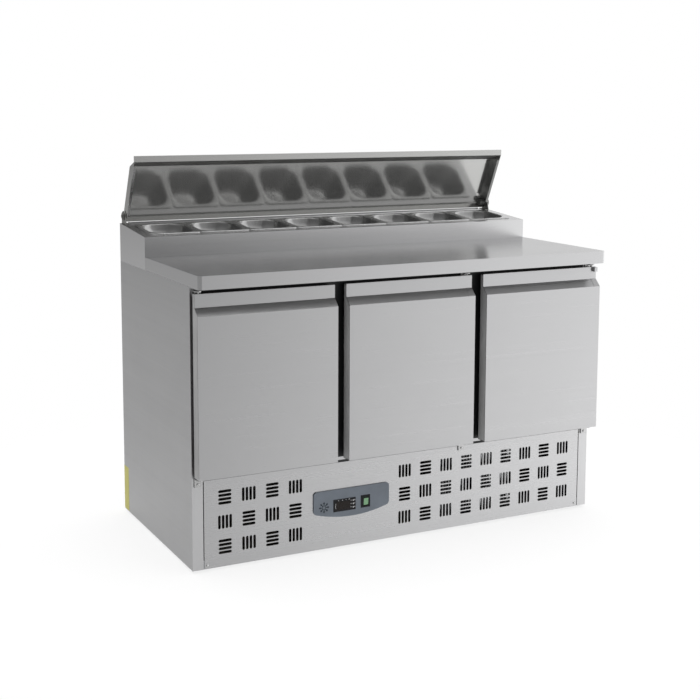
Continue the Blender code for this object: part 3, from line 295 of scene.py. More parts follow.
def build_materials():
    """Every finish by its short name. Metals: colour, roughness, grain direction, anisotropy and so on."""
    return {
        "side": brushed_metal("steel_side_grain", (0.50, 0.50, 0.505), 0.32, "Y", 0.70),
        "door": brushed_metal("steel_door_grain", (0.45, 0.45, 0.455), 0.30, "X", 0.70),
        "level": brushed_metal("steel_level_grain", (0.455, 0.455, 0.46), 0.20, "X", 0.90, 0.04),
        "front": brushed_metal("steel_front_grain", (0.475, 0.475, 0.48), 0.28, "X", 0.70, 0.05),
        "housing": brushed_metal("steel_housing_grain", (0.56, 0.56, 0.565), 0.22, "X", 0.70, 0.04),
        "lid": brushed_metal("steel_lid", (0.50, 0.50, 0.49), 0.14, "X", 0.20, 0.04, 0.74),
        # Darker copy of the steel: painted shade inside the lid's front fold and on the right hem.
        "painted_shade": drawn_metal("steel_fold_painted_shade", (0.26, 0.26, 0.255), 0.50, 0.05),
        "liner": brushed_metal("steel_liner", (0.62, 0.62, 0.62), 0.32, "Z", 0.3),
        "hinge": brushed_metal("steel_hinge", (0.44, 0.44, 0.44), 0.28, "Y", 0.2),
        "dark_hinge": drawn_metal("steel_lid_hinge", (0.30, 0.30, 0.29), 0.32, 0.10, 0.85),
        "spring": drawn_metal("steel_spring", (0.24, 0.24, 0.235), 0.26, 0.10, 0.75),
        "door_edge": plastic("door_edge_trim", (0.54, 0.54, 0.54), 0.55),
        "screw": drawn_metal("steel_screw", (0.60, 0.60, 0.60), 0.24),
        # Pan bowls darker and rims lighter than one and the same steel: painted shade in the bowls,
        # painted highlight on the rims.
        "pan": drawn_metal("steel_pan", (0.36, 0.36, 0.36), 0.14, 0.02, 0.90),
        "pan_rim_highlight": drawn_metal("steel_pan_rim", (0.54, 0.54, 0.54), 0.20, 0.05, 0.90),
        "wire": drawn_metal("steel_wire", (0.68, 0.68, 0.68), 0.20),
        "galvanised": galvanised_metal("galvanised_sheet", (0.52, 0.54, 0.55)),
        "aluminium": brushed_metal("aluminium_fins", (0.78, 0.79, 0.80), 0.35, "Z", 0.3),
        "copper": copper("copper_pipe", (0.80, 0.42, 0.27)),
        "black_paint": enamel("black_enamel", (0.018, 0.018, 0.018), 0.30),
        "black": plastic("black_plastic", (0.012, 0.012, 0.013), 0.42, specular=0.35),
        "black_gloss": plastic("black_gloss_plastic", (0.007, 0.007, 0.009), 0.30, specular=0.20),
        "window": plastic("display_window", (0.013, 0.009, 0.007), 0.25, 300.0, 0.20),
        "slate": plastic("slate_plastic", (0.155, 0.180, 0.215), 0.45),
        "slate_dark": plastic("slate_dark_print", (0.020, 0.029, 0.036), 0.50, specular=0.20),
        "white_print": plastic("white_print", (0.75, 0.75, 0.76), 0.50),
        "key": plastic("key_plastic", (0.55, 0.55, 0.56), 0.40),
        "green": glowing_lens("green_lens", (0.15, 0.33, 0.16)),
        "rubber": rubber("gasket_rubber", (0.010, 0.010, 0.010)),
        "foam": foam_block("insulation_foam", (0.80, 0.72, 0.48)),
        "board": chipboard("core_board", (0.16, 0.16, 0.16)),
        "yellow": plastic("yellow_strip", (0.84, 0.79, 0.22), 0.45),
    }


MATERIALS = build_materials()

FINISH = {
    "side": ["side_panel_left", "side_panel_right"],
    "door": [f"door_{i}_skin" for i in DOOR_NUMBERS],
    "level": ["worktop"],
    "front": ["sill_strip", "pan_rack", "vent_panel"],
    "housing": ["well_housing"],
    "lid": ["lid"],
    "liner": ["cabinet_liner"] + [f"door_{i}_inner" for i in DOOR_NUMBERS],
    "dark_hinge": ["lid_hinge_left", "lid_hinge_right"],
    "hinge": [f"door_{i}_hinge_{end}" for i in DOOR_NUMBERS for end in ("top", "bottom")],
    "pan": PAN_NAMES,
    "wire": SHELF_NAMES,
    "galvanised": ["back_panel", "base_tray", "fan_shroud"],
    "aluminium": ["condenser", "evaporator"],
    "copper": ["suction_pipe"],
    "black_paint": ["compressor"],
    "black": ["foot_1", "foot_2", "foot_3", "foot_4", "front_frame", "condenser_fan", "cable_gland"],
    "black_gloss": ["controller", "switch_housing"],
    "slate": ["control_plate"],
    "key": ["key_1", "key_2", "key_3"],
    "green": ["rocker_switch"],
    "rubber": [f"door_{i}_gasket" for i in DOOR_NUMBERS],
    "foam": ["insulation_foam"],
    "board": ["worktop_core"],
}


def finish_nodes():
    """Give every CAD node its material."""
    for finish, names in FINISH.items():
        for name in names:
            for slot in NODES[name].material_slots:
                slot.material = MATERIALS[finish]


finish_nodes()


# ---- geometry helpers


def node_box(name):
    """Lowest and highest corner of a CAD node at rest."""
    return tuple(Vector(corner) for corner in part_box(name))


def joint_of(name):
    """The record's row for a joint."""
    return next(joint for joint in RECORD["behaviour"]["joints"] if joint["name"] == name)


def add_mesh(name, bm, finish, body, replaced=()):
    """Turn a finished bmesh into a piece with one finish that rides on a body."""
    bmesh.ops.recalc_face_normals(bm, faces=bm.faces)
    mesh = bpy.data.meshes.new(name)
    bm.to_mesh(mesh)
    bm.free()
    mesh.materials.append(MATERIALS[finish])
    obj = bpy.data.objects.new(name, mesh)
    bpy.context.scene.collection.objects.link(obj)
    return hand_over(obj, body, replaced)


def hand_over(obj, body, replaced=()):
    """Put a piece on the body it rides on, and hide the nodes it stands for."""
    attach(obj, body)
    if replaced:
        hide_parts(*replaced)
    return obj


SOFT_ANGLE = math.radians(32.0)
FINE_EDGE = 0.0003


def soften(obj, width, segments=3):
    """Round the edges a little, and keep the flat faces flat."""
    bevel = obj.modifiers.new("soft_edges", "BEVEL")
    bevel.width = width
    bevel.segments = segments
    bevel.limit_method = "ANGLE"
    bevel.angle_limit = SOFT_ANGLE
    bevel.harden_normals = True
    obj.data.shade_smooth()
    return obj


def smooth(obj, degrees):
    """Smooth shading, with edges sharper than the given angle kept sharp."""
    obj.data.shade_smooth()
    obj.data.set_sharp_from_angle(angle=math.radians(degrees))
    return obj


def add_box(bm, low, high):
    """Add a box between two corners and return its vertices."""
    low, high = Vector(low), Vector(high)
    made = bmesh.ops.create_cube(bm, size=1.0)["verts"]
    bmesh.ops.scale(bm, vec=high - low, verts=made)
    bmesh.ops.translate(bm, vec=(low + high) / 2, verts=made)
    return made


def arc(centre, radius, start, end, steps):
    """Points on an arc, angles in degrees."""
    points = []
    for step in range(steps + 1):
        angle = math.radians(start + (end - start) * step / steps)
        points.append((centre[0] + radius * math.cos(angle), centre[1] + radius * math.sin(angle)))
    return points


def rounded_rectangle(half_x, half_y, radius, steps):
    """Outline of a rectangle around the origin with rounded corners."""
    corners = ((1, 1, 0), (-1, 1, 90), (-1, -1, 180), (1, -1, 270))
    points = []
    for sign_x, sign_y, start in corners:
        centre = (sign_x * (half_x - radius), sign_y * (half_y - radius))
        points += arc(centre, radius, start, start + 90, steps)
    return points


def flat_plate(name, outlines, front, thickness, edge, finish, body, replaced=(), slot=None):
    """Upright plate that faces -Y, with holes. Outlines hold (x, z); the first is the outer one."""
    curve = bpy.data.curves.new(name, "CURVE")
    curve.dimensions = "2D"
    curve.fill_mode = "BOTH"
    curve.extrude = thickness / 2 - edge
    curve.bevel_depth = edge
    curve.bevel_resolution = 2
    curve.offset = -edge
    for outline in outlines:
        spline = curve.splines.new("POLY")
        spline.points.add(len(outline) - 1)
        for point, (x, z) in zip(spline.points, outline):
            point.co = (x, z, 0.0, 1.0)
        spline.use_cyclic_u = True
    shape = bpy.data.objects.new(name, curve)
    bpy.context.scene.collection.objects.link(shape)
    bpy.context.view_layer.update()
    mesh = bpy.data.meshes.new_from_object(shape.evaluated_get(bpy.context.evaluated_depsgraph_get()))
    bpy.data.objects.remove(shape, do_unlink=True)
    upright = Matrix.Translation((0.0, front + thickness / 2, 0.0)) @ Matrix.Rotation(math.pi / 2, 4, "X")
    mesh.transform(upright)
    mesh.materials.clear()
    mesh.materials.append(MATERIALS[finish])
    plate = bpy.data.objects.new(name, mesh)
    bpy.context.scene.collection.objects.link(plate)
    smooth(plate, 40.0)
    return hand_over(plate, body, replaced)


def lathe(bm, profile, place, segments):
    """Turn (radius, height) pairs about the local Z of place, and close both ends with a face."""
    rings = []
    for radius, height in profile:
        ring = []
        for i in range(segments):
            angle = 2 * math.pi * i / segments
            point = Vector((radius * math.cos(angle), radius * math.sin(angle), height))
            ring.append(bm.verts.new(place @ point))
        rings.append(ring)
    join_loops(bm, rings)
    bm.faces.new(rings[0])
    bm.faces.new(list(reversed(rings[-1])))


def add_profile(bm, outline, start, end):
    """Extrude an outline of (y, z) points along X."""
    first = [bm.verts.new((start, y, z)) for y, z in outline]
    last = [bm.verts.new((end, y, z)) for y, z in outline]
    add_prism(bm, first, last)


def join_loops(bm, loops):
    """Skin a row of equal closed loops of vertices."""
    count = len(loops[0])
    for upper, lower in zip(loops, loops[1:]):
        for i in range(count):
            j = (i + 1) % count
            bm.faces.new((upper[i], lower[i], lower[j], upper[j]))


def add_prism(bm, first, last):
    """Close the space between two equal rings of vertices."""
    bm.faces.new(first)
    bm.faces.new(list(reversed(last)))
    for i in range(len(first)):
        j = (i + 1) % len(first)
        bm.faces.new((first[i], last[i], last[j], first[j]))


def facing(point, direction):
    """Transform that puts local +Z along direction at point."""
    turn = Vector(direction).to_track_quat("Z", "Y").to_matrix().to_4x4()
    return Matrix.Translation(point) @ turn


# ---- plinth


VENT_SHEET = 0.0010
VENT_SEAM = 0.0012
VENT_WINDOW_GAP = 0.0010
SLOT_WIDTH = 0.0079
SLOT_LENGTH = 0.0400
SLOT_PITCH = 0.0114
SLOTS_IN_GROUP = 4
GROUP_PITCH = 0.0732
GROUP_ROWS = (0.2113, 0.1390, 0.0667)
# Each block of groups: x of its first column, number of columns, and which groups lie flat.
GROUP_BLOCKS = ((-0.5843, 4, 0), (0.0, 9, 1))
PLINTH_SCREW_X = (-0.6388, 0.6380)
PLINTH_SCREW_Z = 0.0184
PLINTH_SCREW_RADIUS = 0.0040
# Turned outline of a screw: across and up, as shares of its radius.
SCREW_SOCKET = ((0.36, 0.25), (0.36, 0.55), (0.46, 0.60))
SCREW_HEAD = ((0.72, 0.52), (0.92, 0.34), (1.0, 0.12), (1.0, -0.05))


def slot_outline(x, z, flat):
    """Round-ended slot around (x, z), lying flat or upright."""
    radius = SLOT_WIDTH / 2
    reach = SLOT_LENGTH / 2 - radius
    if flat:
        return arc((x + reach, z), radius, -90, 90, 6) + arc((x - reach, z), radius, 90, 270, 6)
    return arc((x, z + reach), radius, 0, 180, 6) + arc((x, z - reach), radius, 180, 360, 6)


def box_outline(left, bottom, right, top):
    """Corners of a rectangle, in order."""
    return [(left, bottom), (right, bottom), (right, top), (left, top)]


def window_outline(node):
    """Opening in the vent panel around a node, with a gap on every side."""
    low, high = node_box(node)
    gap = VENT_WINDOW_GAP
    return box_outline(low[0] - gap, low[2] - gap, high[0] + gap, high[2] + gap)


def vent_panel():
    """Plinth panel with round-ended slots in groups that turn by a quarter from one to the next."""
    low, high = node_box("vent_panel")
    outlines = [box_outline(low[0] + VENT_SEAM, low[2], high[0] - VENT_SEAM, high[2])]
    for start, columns, parity in GROUP_BLOCKS:
        for column in range(columns):
            for row, z in enumerate(GROUP_ROWS):
                x = start + column * GROUP_PITCH
                flat = (row + column) % 2 == parity
                for k in range(SLOTS_IN_GROUP):
                    shift = (k - (SLOTS_IN_GROUP - 1) / 2) * SLOT_PITCH
                    place = (x, z + shift) if flat else (x + shift, z)
                    outlines.append(slot_outline(*place, flat))
    outlines += [window_outline("controller"), window_outline("switch_housing")]
    layer = (low[1], VENT_SHEET, 0.0)
    flat_plate("vent_panel_sheet", outlines, *layer, "front", "cabinet", ["vent_panel"], "brushed_steel")
    bm = bmesh.new()
    add_box(bm, (low[0], low[1] + VENT_SHEET, high[2] - VENT_SHEET), high)
    soften(add_mesh("vent_panel_return", bm, "front", "cabinet", ()), FINE_EDGE)


def screw(name, point, radius):
    """Pan-head screw with a socket, on a face that looks to the front of the cabinet."""
    bm = bmesh.new()
    profile = [(radius * across, radius * up) for across, up in SCREW_SOCKET + SCREW_HEAD]
    lathe(bm, profile, facing(point, (0, -1, 0)), 18)
    smooth(add_mesh(name, bm, "screw", "cabinet", ()), 50.0)


def plinth_screws():
    """One screw in each lower corner of the vent panel."""
    front = node_box("vent_panel")[0].y
    for number, x in enumerate(PLINTH_SCREW_X, 1):
        screw(f"plinth_screw_{number}", (x, front, PLINTH_SCREW_Z), PLINTH_SCREW_RADIUS)


# ---- controls


PRINT_RISE = 0.00015
FROST_X = -0.2740
FROST_Z = 0.1355
FROST_ARMS = 8
FROST_ARM_HALF_WIDTH = 0.0013
FROST_ARM_START = 0.0040
FROST_ARM_END = 0.0168
FROST_BARB_AT = 0.0110
FROST_BARB_HALF_WIDTH = 0.0009
FROST_BARB_LENGTH = 0.0042
FROST_BARB_RISE = 0.00014
FROST_BARB_LEAN = math.radians(50)


def snowflake():
    """Frost symbol on the control plate: arms around a point, with two short barbs each."""
    low, _ = node_box("control_plate")
    centre = Vector((FROST_X, low[1], FROST_Z))
    bm = bmesh.new()
    for k in range(FROST_ARMS):
        turn = Matrix.Rotation(2 * math.pi / FROST_ARMS * k, 4, "Y")
        half = FROST_ARM_HALF_WIDTH
        parts = add_box(bm, (-half, -PRINT_RISE, FROST_ARM_START), (half, PRINT_RISE, FROST_ARM_END))
        for side in (-1, 1):
            half, rise = FROST_BARB_HALF_WIDTH, FROST_BARB_RISE
            barb = add_box(bm, (-half, -rise, 0.0), (half, rise, FROST_BARB_LENGTH))
            lean = Matrix.Rotation(side * FROST_BARB_LEAN, 4, "Y")
            lean = Matrix.Translation((0.0, 0.0, FROST_BARB_AT)) @ lean
            bmesh.ops.transform(bm, matrix=lean, verts=barb)
            parts = parts + barb
        bmesh.ops.transform(bm, matrix=Matrix.Translation(centre) @ turn, verts=parts)
    add_mesh("frost_symbol", bm, "slate_dark", "cabinet", ())


# Places on the controller's face are shares of its width and height.
WINDOW_AT = (0.44, 0.47)
WINDOW_HALF = (0.31, 0.33)
WINDOW_CORNER = 0.0015
WINDOW_RISE = 0.0005
WINDOW_THICKNESS = 0.0009
WINDOW_EDGE = 0.0002
CRESCENT_AT = 0.095
CRESCENT_ARC = (163, 197)
# The crescent's two arcs: distance of the centre from the crescent, and radius.
CRESCENT_INNER = (0.0300, 0.0310)
CRESCENT_OUTER = (0.0260, 0.0262)
CRESCENT_RISE = 0.0002
CRESCENT_THICKNESS = 0.0004
CRESCENT_EDGE = 0.00005
# Marks along the top: place across and up, and half width in metres.
TOP_MARKS = ((0.22, 0.90, 0.0008), (0.40, 0.90, 0.0013), (0.56, 0.91, 0.0008), (0.70, 0.92, 0.0013))
TOP_MARK_HALF_HEIGHT = 0.0009
KEY_MARK_COLUMNS = (0.79, 0.79 + 0.17)
KEY_MARK_ROWS = (0.24, 0.24 + 0.28, 0.24 + 2 * 0.28)
KEY_MARK_HALF = (0.0010, 0.0012)


def controller_details():
    """Window, printed marks and the light crescent on the controller's face."""
    low, high = node_box("controller")
    face = low[1]
    width, height = high[0] - low[0], high[2] - low[2]
    window = rounded_rectangle(width * WINDOW_HALF[0], height * WINDOW_HALF[1], WINDOW_CORNER, 4)
    middle = (low[0] + width * WINDOW_AT[0], low[2] + height * WINDOW_AT[1])
    outline = [(middle[0] + x, middle[1] + z) for x, z in window]
    layer = (face - WINDOW_RISE, WINDOW_THICKNESS, WINDOW_EDGE)
    flat_plate("display_window", [outline], *layer, "window", "cabinet", (), "black_plastic")
    left = low[0] + width * CRESCENT_AT
    start, end = CRESCENT_ARC
    inner = arc((left + CRESCENT_INNER[0], middle[1]), CRESCENT_INNER[1], start, end, 10)
    outer = arc((left + CRESCENT_OUTER[0], middle[1]), CRESCENT_OUTER[1], end, start, 10)
    layer = (face - CRESCENT_RISE, CRESCENT_THICKNESS, CRESCENT_EDGE)
    flat_plate("crescent_mark", [inner + outer], *layer, "white_print", "cabinet", (), "key_plastic")
    marks = [(x, z, half_width, TOP_MARK_HALF_HEIGHT) for x, z, half_width in TOP_MARKS]
    marks += [(x, z, *KEY_MARK_HALF) for z in KEY_MARK_ROWS for x in KEY_MARK_COLUMNS]
    bm = bmesh.new()
    for x, z, half_x, half_z in marks:
        at = Vector((low[0] + width * x, face, low[2] + height * z))
        reach = Vector((half_x, PRINT_RISE, half_z))
        add_box(bm, at - reach, at + reach)
    add_mesh("controller_marks", bm, "white_print", "cabinet", ())


MASK_SIDE = 0.0042
MASK_TOP = 0.0034
MASK_RISE = 0.0003
MASK_SINK = 0.0006
MASK_SIDE_RISE = 0.0002
LENS_SIDE = 0.001


def mask_outline(points):
    """Thin closed outline that follows (y, z) points of the lens, a little proud of them."""
    front = [(y - MASK_RISE, z) for y, z in points]
    return front + [(y + MASK_SINK, z) for y, z in reversed(points)]


def rocker_mask():
    """Black border along the left side and the top of the rocker's green lens."""
    mesh = NODES["rocker_switch"].data
    low, high = node_box("rocker_switch")
    edge = {(round(v.co.y, 5), round(v.co.z, 5)) for v in mesh.vertices if v.co.x < low.x + LENS_SIDE}
    front = sorted(sorted(edge)[:3], key=lambda point: point[1])
    bm = bmesh.new()
    add_profile(bm, mask_outline(front), low.x - MASK_SIDE_RISE, low.x + MASK_SIDE)
    (y_middle, z_middle), (y_top, z_top) = front[1:]
    share = 1.0 - MASK_TOP / (z_top - z_middle)
    lower = (y_middle + (y_top - y_middle) * share, z_middle + (z_top - z_middle) * share)
    add_profile(bm, mask_outline([lower, (y_top, z_top)]), low.x + MASK_SIDE, high.x)
    add_mesh("rocker_mask", bm, "black_gloss", "rocker", ())


# ---- pans


PAN_SHEET = 0.0010
PAN_HALF = (0.0810, 0.0880)
RIM_CORNER = 0.012
RIM_TOP = 0.0030
RIM_UNDERSIDE = 0.0004
# Faces higher than this over the rim's underside take the lighter rim colour of painted highlight.
RIM_HIGHLIGHT_FROM = 0.0010
# Turned-down edge of the rim, from below: inset from the pan's outline, and height.
RIM_EDGE = ((0.0, RIM_UNDERSIDE), (0.0, 0.0020), (0.0004, 0.0027), (0.0012, RIM_TOP))
BOWL_INSET = (0.0105, 0.0125)
BOWL_CORNER = 0.044
BOWL_NECK = 0.0012
# Bowl from its mouth to its floor: growth of the half sizes across and along, corner radius, height.
BOWL_MOUTH = (
    (0.0030, 0.0030, BOWL_CORNER, 0.0027),
    (0.0014, 0.0014, BOWL_CORNER, 0.0020),
    (0.0004, 0.0004, BOWL_CORNER, RIM_UNDERSIDE),
)
BOWL_WALL = (
    (-0.0005, -0.0006, 0.045, -0.006),
    (-0.0016, -0.0024, 0.046, -0.015),
    (-0.0036, -0.0060, 0.047, -0.024),
    (-0.0064, -0.0110, 0.048, -0.034),
    (-0.0098, -0.0155, 0.048, -0.047),
    (-0.0135, -0.0195, 0.047, -0.070),
    (-0.0155, -0.0215, 0.046, -0.086),
)
BOWL_FLOOR = (
    (-0.0190, -0.0245, 0.044, -0.095),
    (-0.0240, -0.0290, 0.041, -0.099),
    (-0.0310, -0.0360, 0.036, -0.100),
)
# How much of the sheet's thickness goes outwards and how much goes down.
WALL_SHARES = (0.8, 0.3)
FLOOR_SHARES = (0.5, 0.8)


def slope_of_well():
    """Angle of the well's top, from the pans' lift axis."""
    axis = joint_of("pan_1_lift")["axis"]
    return math.atan2(-axis[1], axis[2])


def thicken(rows, outwards, down):
    """The outer face of sheet whose inner face the rows give."""
    step, drop = PAN_SHEET * outwards, PAN_SHEET * down
    return [(x + step, y + step, radius, z - drop) for x, y, radius, z in rows]


def pan(name):
    """Deep-drawn pan with a flat rim whose edge is turned down, and wide bowl corners; the bowl is
    coloured darker (painted shade) and the rim lighter (painted highlight).
    """
    low, high = node_box(name)
    rim_x, rim_y = PAN_HALF
    bowl_x, bowl_y = rim_x - BOWL_INSET[0], rim_y - BOWL_INSET[1]
    turn = Matrix.Rotation(slope_of_well(), 4, "X")
    back_top = turn @ Vector((0.0, rim_y, RIM_TOP))
    top = Vector(((low.x + high.x) / 2, high.y - back_top.y, high.z - back_top.z))
    rim = [(rim_x - inset, rim_y - inset, RIM_CORNER, z) for inset, z in RIM_EDGE]
    mouth, wall, floor = (
        [(bowl_x + x, bowl_y + y, radius, z) for x, y, radius, z in rows]
        for rows in (BOWL_MOUTH, BOWL_WALL, BOWL_FLOOR)
    )
    neck = (bowl_x + BOWL_NECK, bowl_y + BOWL_NECK, BOWL_CORNER, RIM_UNDERSIDE)
    inside = rim + mouth + wall + floor
    outside = [neck] + thicken(wall, *WALL_SHARES) + thicken(floor, *FLOOR_SHARES)
    bm = bmesh.new()
    loops = []
    for x, y, radius, z in list(reversed(inside)) + outside:
        points = rounded_rectangle(x, y, radius, 9)
        loops.append([bm.verts.new(top + turn @ Vector((a, b, z))) for a, b in points])
    join_loops(bm, loops)
    bm.faces.new(loops[0])
    bm.faces.new(list(reversed(loops[-1])))
    bowl = add_mesh(f"{name}_bowl", bm, "pan", name, [name])
    # The rim's faces take the lighter colour of painted highlight; the rest keeps the darker colour of
    # painted shade.
    bowl.data.materials.append(MATERIALS["pan_rim_highlight"])
    for face in bowl.data.polygons:
        height = (turn.transposed() @ (face.center - top)).z
        face.material_index = int(height > RIM_HIGHLIGHT_FROM)
    smooth(bowl, 60.0)


# ---- shelves


SHELF_RIM = 0.0020
SHELF_RIM_CORNER = 0.012
SHELF_CROSS = 0.0016
SHELF_CROSS_AT = (-0.45, 0.45)
SHELF_CROSS_DROP = 0.0004
SHELF_BAR = 0.0010
SHELF_BAR_RISE = 0.0009
SHELF_BAYS = 24


def wires(name, routes, finish, replaced=()):
    """Round wires of the cabinet as one mesh. Each route is (points, radius, closed)."""
    bm = bmesh.new()
    for points, radius, closed in routes:
        curve = bpy.data.curves.new(name, "CURVE")
        curve.dimensions = "3D"
        curve.bevel_depth = radius
        curve.bevel_resolution = 2
        curve.use_fill_caps = not closed
        spline = curve.splines.new("POLY")
        spline.points.add(len(points) - 1)
        for place, point in zip(spline.points, points):
            place.co = (*point, 1.0)
        spline.use_cyclic_u = closed
        shape = bpy.data.objects.new(name, curve)
        bpy.context.scene.collection.objects.link(shape)
        bpy.context.view_layer.update()
        mesh = bpy.data.meshes.new_from_object(shape.evaluated_get(bpy.context.evaluated_depsgraph_get()))
        bm.from_mesh(mesh)
        bpy.data.objects.remove(shape, do_unlink=True)
    smooth(add_mesh(name, bm, finish, "cabinet", replaced), 60.0)


def shelf(name):
    """Wire shelf: a heavy rim, two cross wires and thin bars from front to back."""
    low, high = node_box(name)
    middle = (low + high) / 2
    half = (high - low) / 2
    rim, z = SHELF_RIM, (low.z + high.z) / 2
    corners = rounded_rectangle(half.x - rim, half.y - rim, SHELF_RIM_CORNER, 5)
    routes = [([(middle.x + x, middle.y + y, z) for x, y in corners], rim, True)]
    for share in SHELF_CROSS_AT:
        y, level = middle.y + share * half.y, z - SHELF_CROSS_DROP
        routes.append(([(low.x + rim, y, level), (high.x - rim, y, level)], SHELF_CROSS, False))
    for i in range(1, SHELF_BAYS):
        x, level = low.x + (high.x - low.x) * i / SHELF_BAYS, z + SHELF_BAR_RISE
        routes.append(([(x, low.y + rim, level), (x, high.y - rim, level)], SHELF_BAR, False))
    wires(f"{name}_wires", routes, "wire", [name])


# ---- doors


# Bellows section of the gasket: inset from its outer edge, and share of its depth.
GASKET_WIDTH = 0.0160
GASKET_SECTION = (
    (0.0, 0.0),
    (0.0, 0.25),
    (0.0035, 0.42),
    (0.0010, 0.62),
    (0.0014, 0.92),
    (0.0040, 1.0),
    (0.0120, 1.0),
    (0.0146, 0.92),
    (0.0150, 0.62),
    (0.0125, 0.42),
    (GASKET_WIDTH, 0.25),
    (GASKET_WIDTH, 0.0),
)
GASKET_CORNER = 0.0200
GASKET_SMALLEST_CORNER = 0.0060


def gasket(number):
    """Soft seal: a ring with a rounded bellows section."""
    name = f"door_{number}_gasket"
    low, high = node_box(name)
    middle = (low + high) / 2
    half = (high - low) / 2
    bm = bmesh.new()
    loops = []
    for inset, share in GASKET_SECTION:
        corner = max(GASKET_SMALLEST_CORNER, GASKET_CORNER - inset)
        points = rounded_rectangle(half.x - inset, half.z - inset, corner, 4)
        y = low.y + (high.y - low.y) * share
        loops.append([bm.verts.new((middle.x + x, y, middle.z + z)) for x, z in points])
    join_loops(bm, loops + loops[:1])
    smooth(add_mesh(f"{name}_bellows", bm, "rubber", f"door_{number}", [name]), 60.0)


GRIP_DEPTH = 0.0220
GRIP_LOW = 0.7410
GRIP_HIGH = 0.7630
TRIM_INSET = 0.0030
TRIM_RISE = 0.0004
TRIM_SINK = 0.0002
COVER_RISE = 0.0006
COVER_TOE = 0.0010
COVER_HALF = 0.0004
COVER_START = 0.0210
COVER_END = 0.0020
CAP_WIDTH = 0.0130
CAP_FRONT = 0.0120
CAP_HEIGHT = 0.0150
CAP_SIDE_GAP = 0.0005
CAP_TOP_GAP = 0.0010
CAP_EDGE = 0.0012
HINGE_SCREW_RADIUS = 0.0042
# Height of a hinge bracket's screw over its lower end or under its upper end.
HINGE_SCREW_UP = 0.0075
HINGE_SCREW_DOWN = 0.0095
HINGE_LEAF = 0.0030


def door_side(low, high, inset):
    """Side outline of a door as (y, z), drawn in from the edges by inset."""
    back_plane = low.y + GRIP_DEPTH + inset
    return [
        (low.y + inset, low.z + inset),
        (low.y + inset, GRIP_LOW),
        (back_plane, GRIP_HIGH),
        (back_plane, high.z - inset),
        (high.y - inset, high.z - inset),
        (high.y - inset, low.z + inset),
    ]


def door_edges(number):
    """Plastic trims on the door's side faces, and the cover over the end of its grip."""
    low, high = node_box(f"door_{number}_skin")
    body = f"door_{number}"
    bm = bmesh.new()
    outline = door_side(low, high, TRIM_INSET)
    add_profile(bm, outline, low.x - TRIM_RISE, low.x + TRIM_SINK)
    add_profile(bm, outline, high.x - TRIM_SINK, high.x + TRIM_RISE)
    add_mesh(f"door_{number}_edge_trims", bm, "door_edge", body, ())
    back_plane = low.y + GRIP_DEPTH
    cover = [
        (low.y + COVER_TOE, GRIP_LOW + 2 * COVER_TOE),
        (back_plane - COVER_RISE, GRIP_HIGH + COVER_HALF),
        (back_plane, GRIP_HIGH - COVER_HALF),
        (low.y + 2 * COVER_TOE, GRIP_LOW + COVER_TOE),
    ]
    bm = bmesh.new()
    add_profile(bm, cover, high.x - COVER_START, high.x - COVER_END)
    soften(add_mesh(f"door_{number}_grip_cover", bm, "door", body, ()), FINE_EDGE)


def corner_cap():
    """Hinge cap that fills the grip recess at the top corner of the right-hand door."""
    low, high = node_box("door_3_skin")
    start = (high.x - CAP_WIDTH, low.y + CAP_FRONT, high.z - CAP_HEIGHT)
    bm = bmesh.new()
    add_box(bm, start, (high.x - CAP_SIDE_GAP, low.y + GRIP_DEPTH, high.z - CAP_TOP_GAP))
    soften(add_mesh("door_3_corner_cap", bm, "door", "door_3", ()), CAP_EDGE)


def hinge_screws(number):
    """One screw on the upright leaf of each of a door's brackets."""
    for end in ("top", "bottom"):
        name = f"door_{number}_hinge_{end}"
        low, high = node_box(name)
        x = (low.x + high.x) / 2
        z = low.z + HINGE_SCREW_UP if end == "bottom" else high.z - HINGE_SCREW_DOWN
        screw(f"{name}_screw", (x, high.y - HINGE_LEAF, z), HINGE_SCREW_RADIUS)


def door_details(number):
    """All the fine pieces of one door."""
    door_edges(number)
    gasket(number)
    hinge_screws(number)


# ---- lid


# Measures of the lid's section, as distances outwards and upwards from its hinge line when it is shut.
LID_AXIS = Vector(joint_of("lid_hinge")["pos_m"])
LID_OPEN = math.radians(64.5)
LID_EDGE = -0.0190
LID_FLAT_END = 0.1700
LID_TOP = 0.0140
LID_SHEET = 0.0010
HEM_WIDTH = 0.0080
HEM_START = 0.0120
HEM_PAST_FLAT = 0.0120
HEM_RISE = (0.0002, 0.0012)
# The sheet of painted shade inside the front fold: where it starts and ends outwards, its gap and back
# from the fold, and how far its ends stay in.
PAINTED_SHADE_START = 0.1722
PAINTED_SHADE_END = 0.2000
PAINTED_SHADE_GAP = 0.0004
PAINTED_SHADE_BACK = 0.0012
PAINTED_SHADE_END_GAP = 0.0020
UPSTAND_HEIGHT = 0.0026
UPSTAND_END_GAP = 0.0260
UPSTAND_SINK = 0.0020
UPSTAND_EDGE = 0.0004
# Front and back of the upstand, measured forwards from the housing's back.
UPSTAND_AT = (0.0016, 0.0004)


def lid_point(x, out, up):
    """World place of a point given around the hinge of the shut lid, with the lid open as packed."""
    y = -out * math.cos(LID_OPEN) + up * math.sin(LID_OPEN)
    z = out * math.sin(LID_OPEN) + up * math.cos(LID_OPEN)
    return LID_AXIS + Vector((x, y, z))


def lid_hems():
    """Inturned flanges along the bottom edges of the lid's side walls; the right one is coloured darker,
    as painted shade.
    """
    _, high = node_box("lid")
    outer = high.x - LID_SHEET
    inner = outer - HEM_WIDTH
    end = LID_FLAT_END + HEM_PAST_FLAT
    section = ((HEM_START, inner), (HEM_START, outer), (end, outer), (end, inner))
    # The right hem takes the darker steel of painted shade; the left one takes the hinge steel.
    for side, label, finish in ((-1, "left", "hinge"), (1, "right", "painted_shade")):
        bm = bmesh.new()
        faces = []
        for rise in HEM_RISE:
            faces.append([bm.verts.new(lid_point(side * x, out, LID_EDGE + rise)) for out, x in section])
        add_prism(bm, *faces)
        soften(add_mesh(f"lid_hem_{label}", bm, finish, "lid", ()), FINE_EDGE)


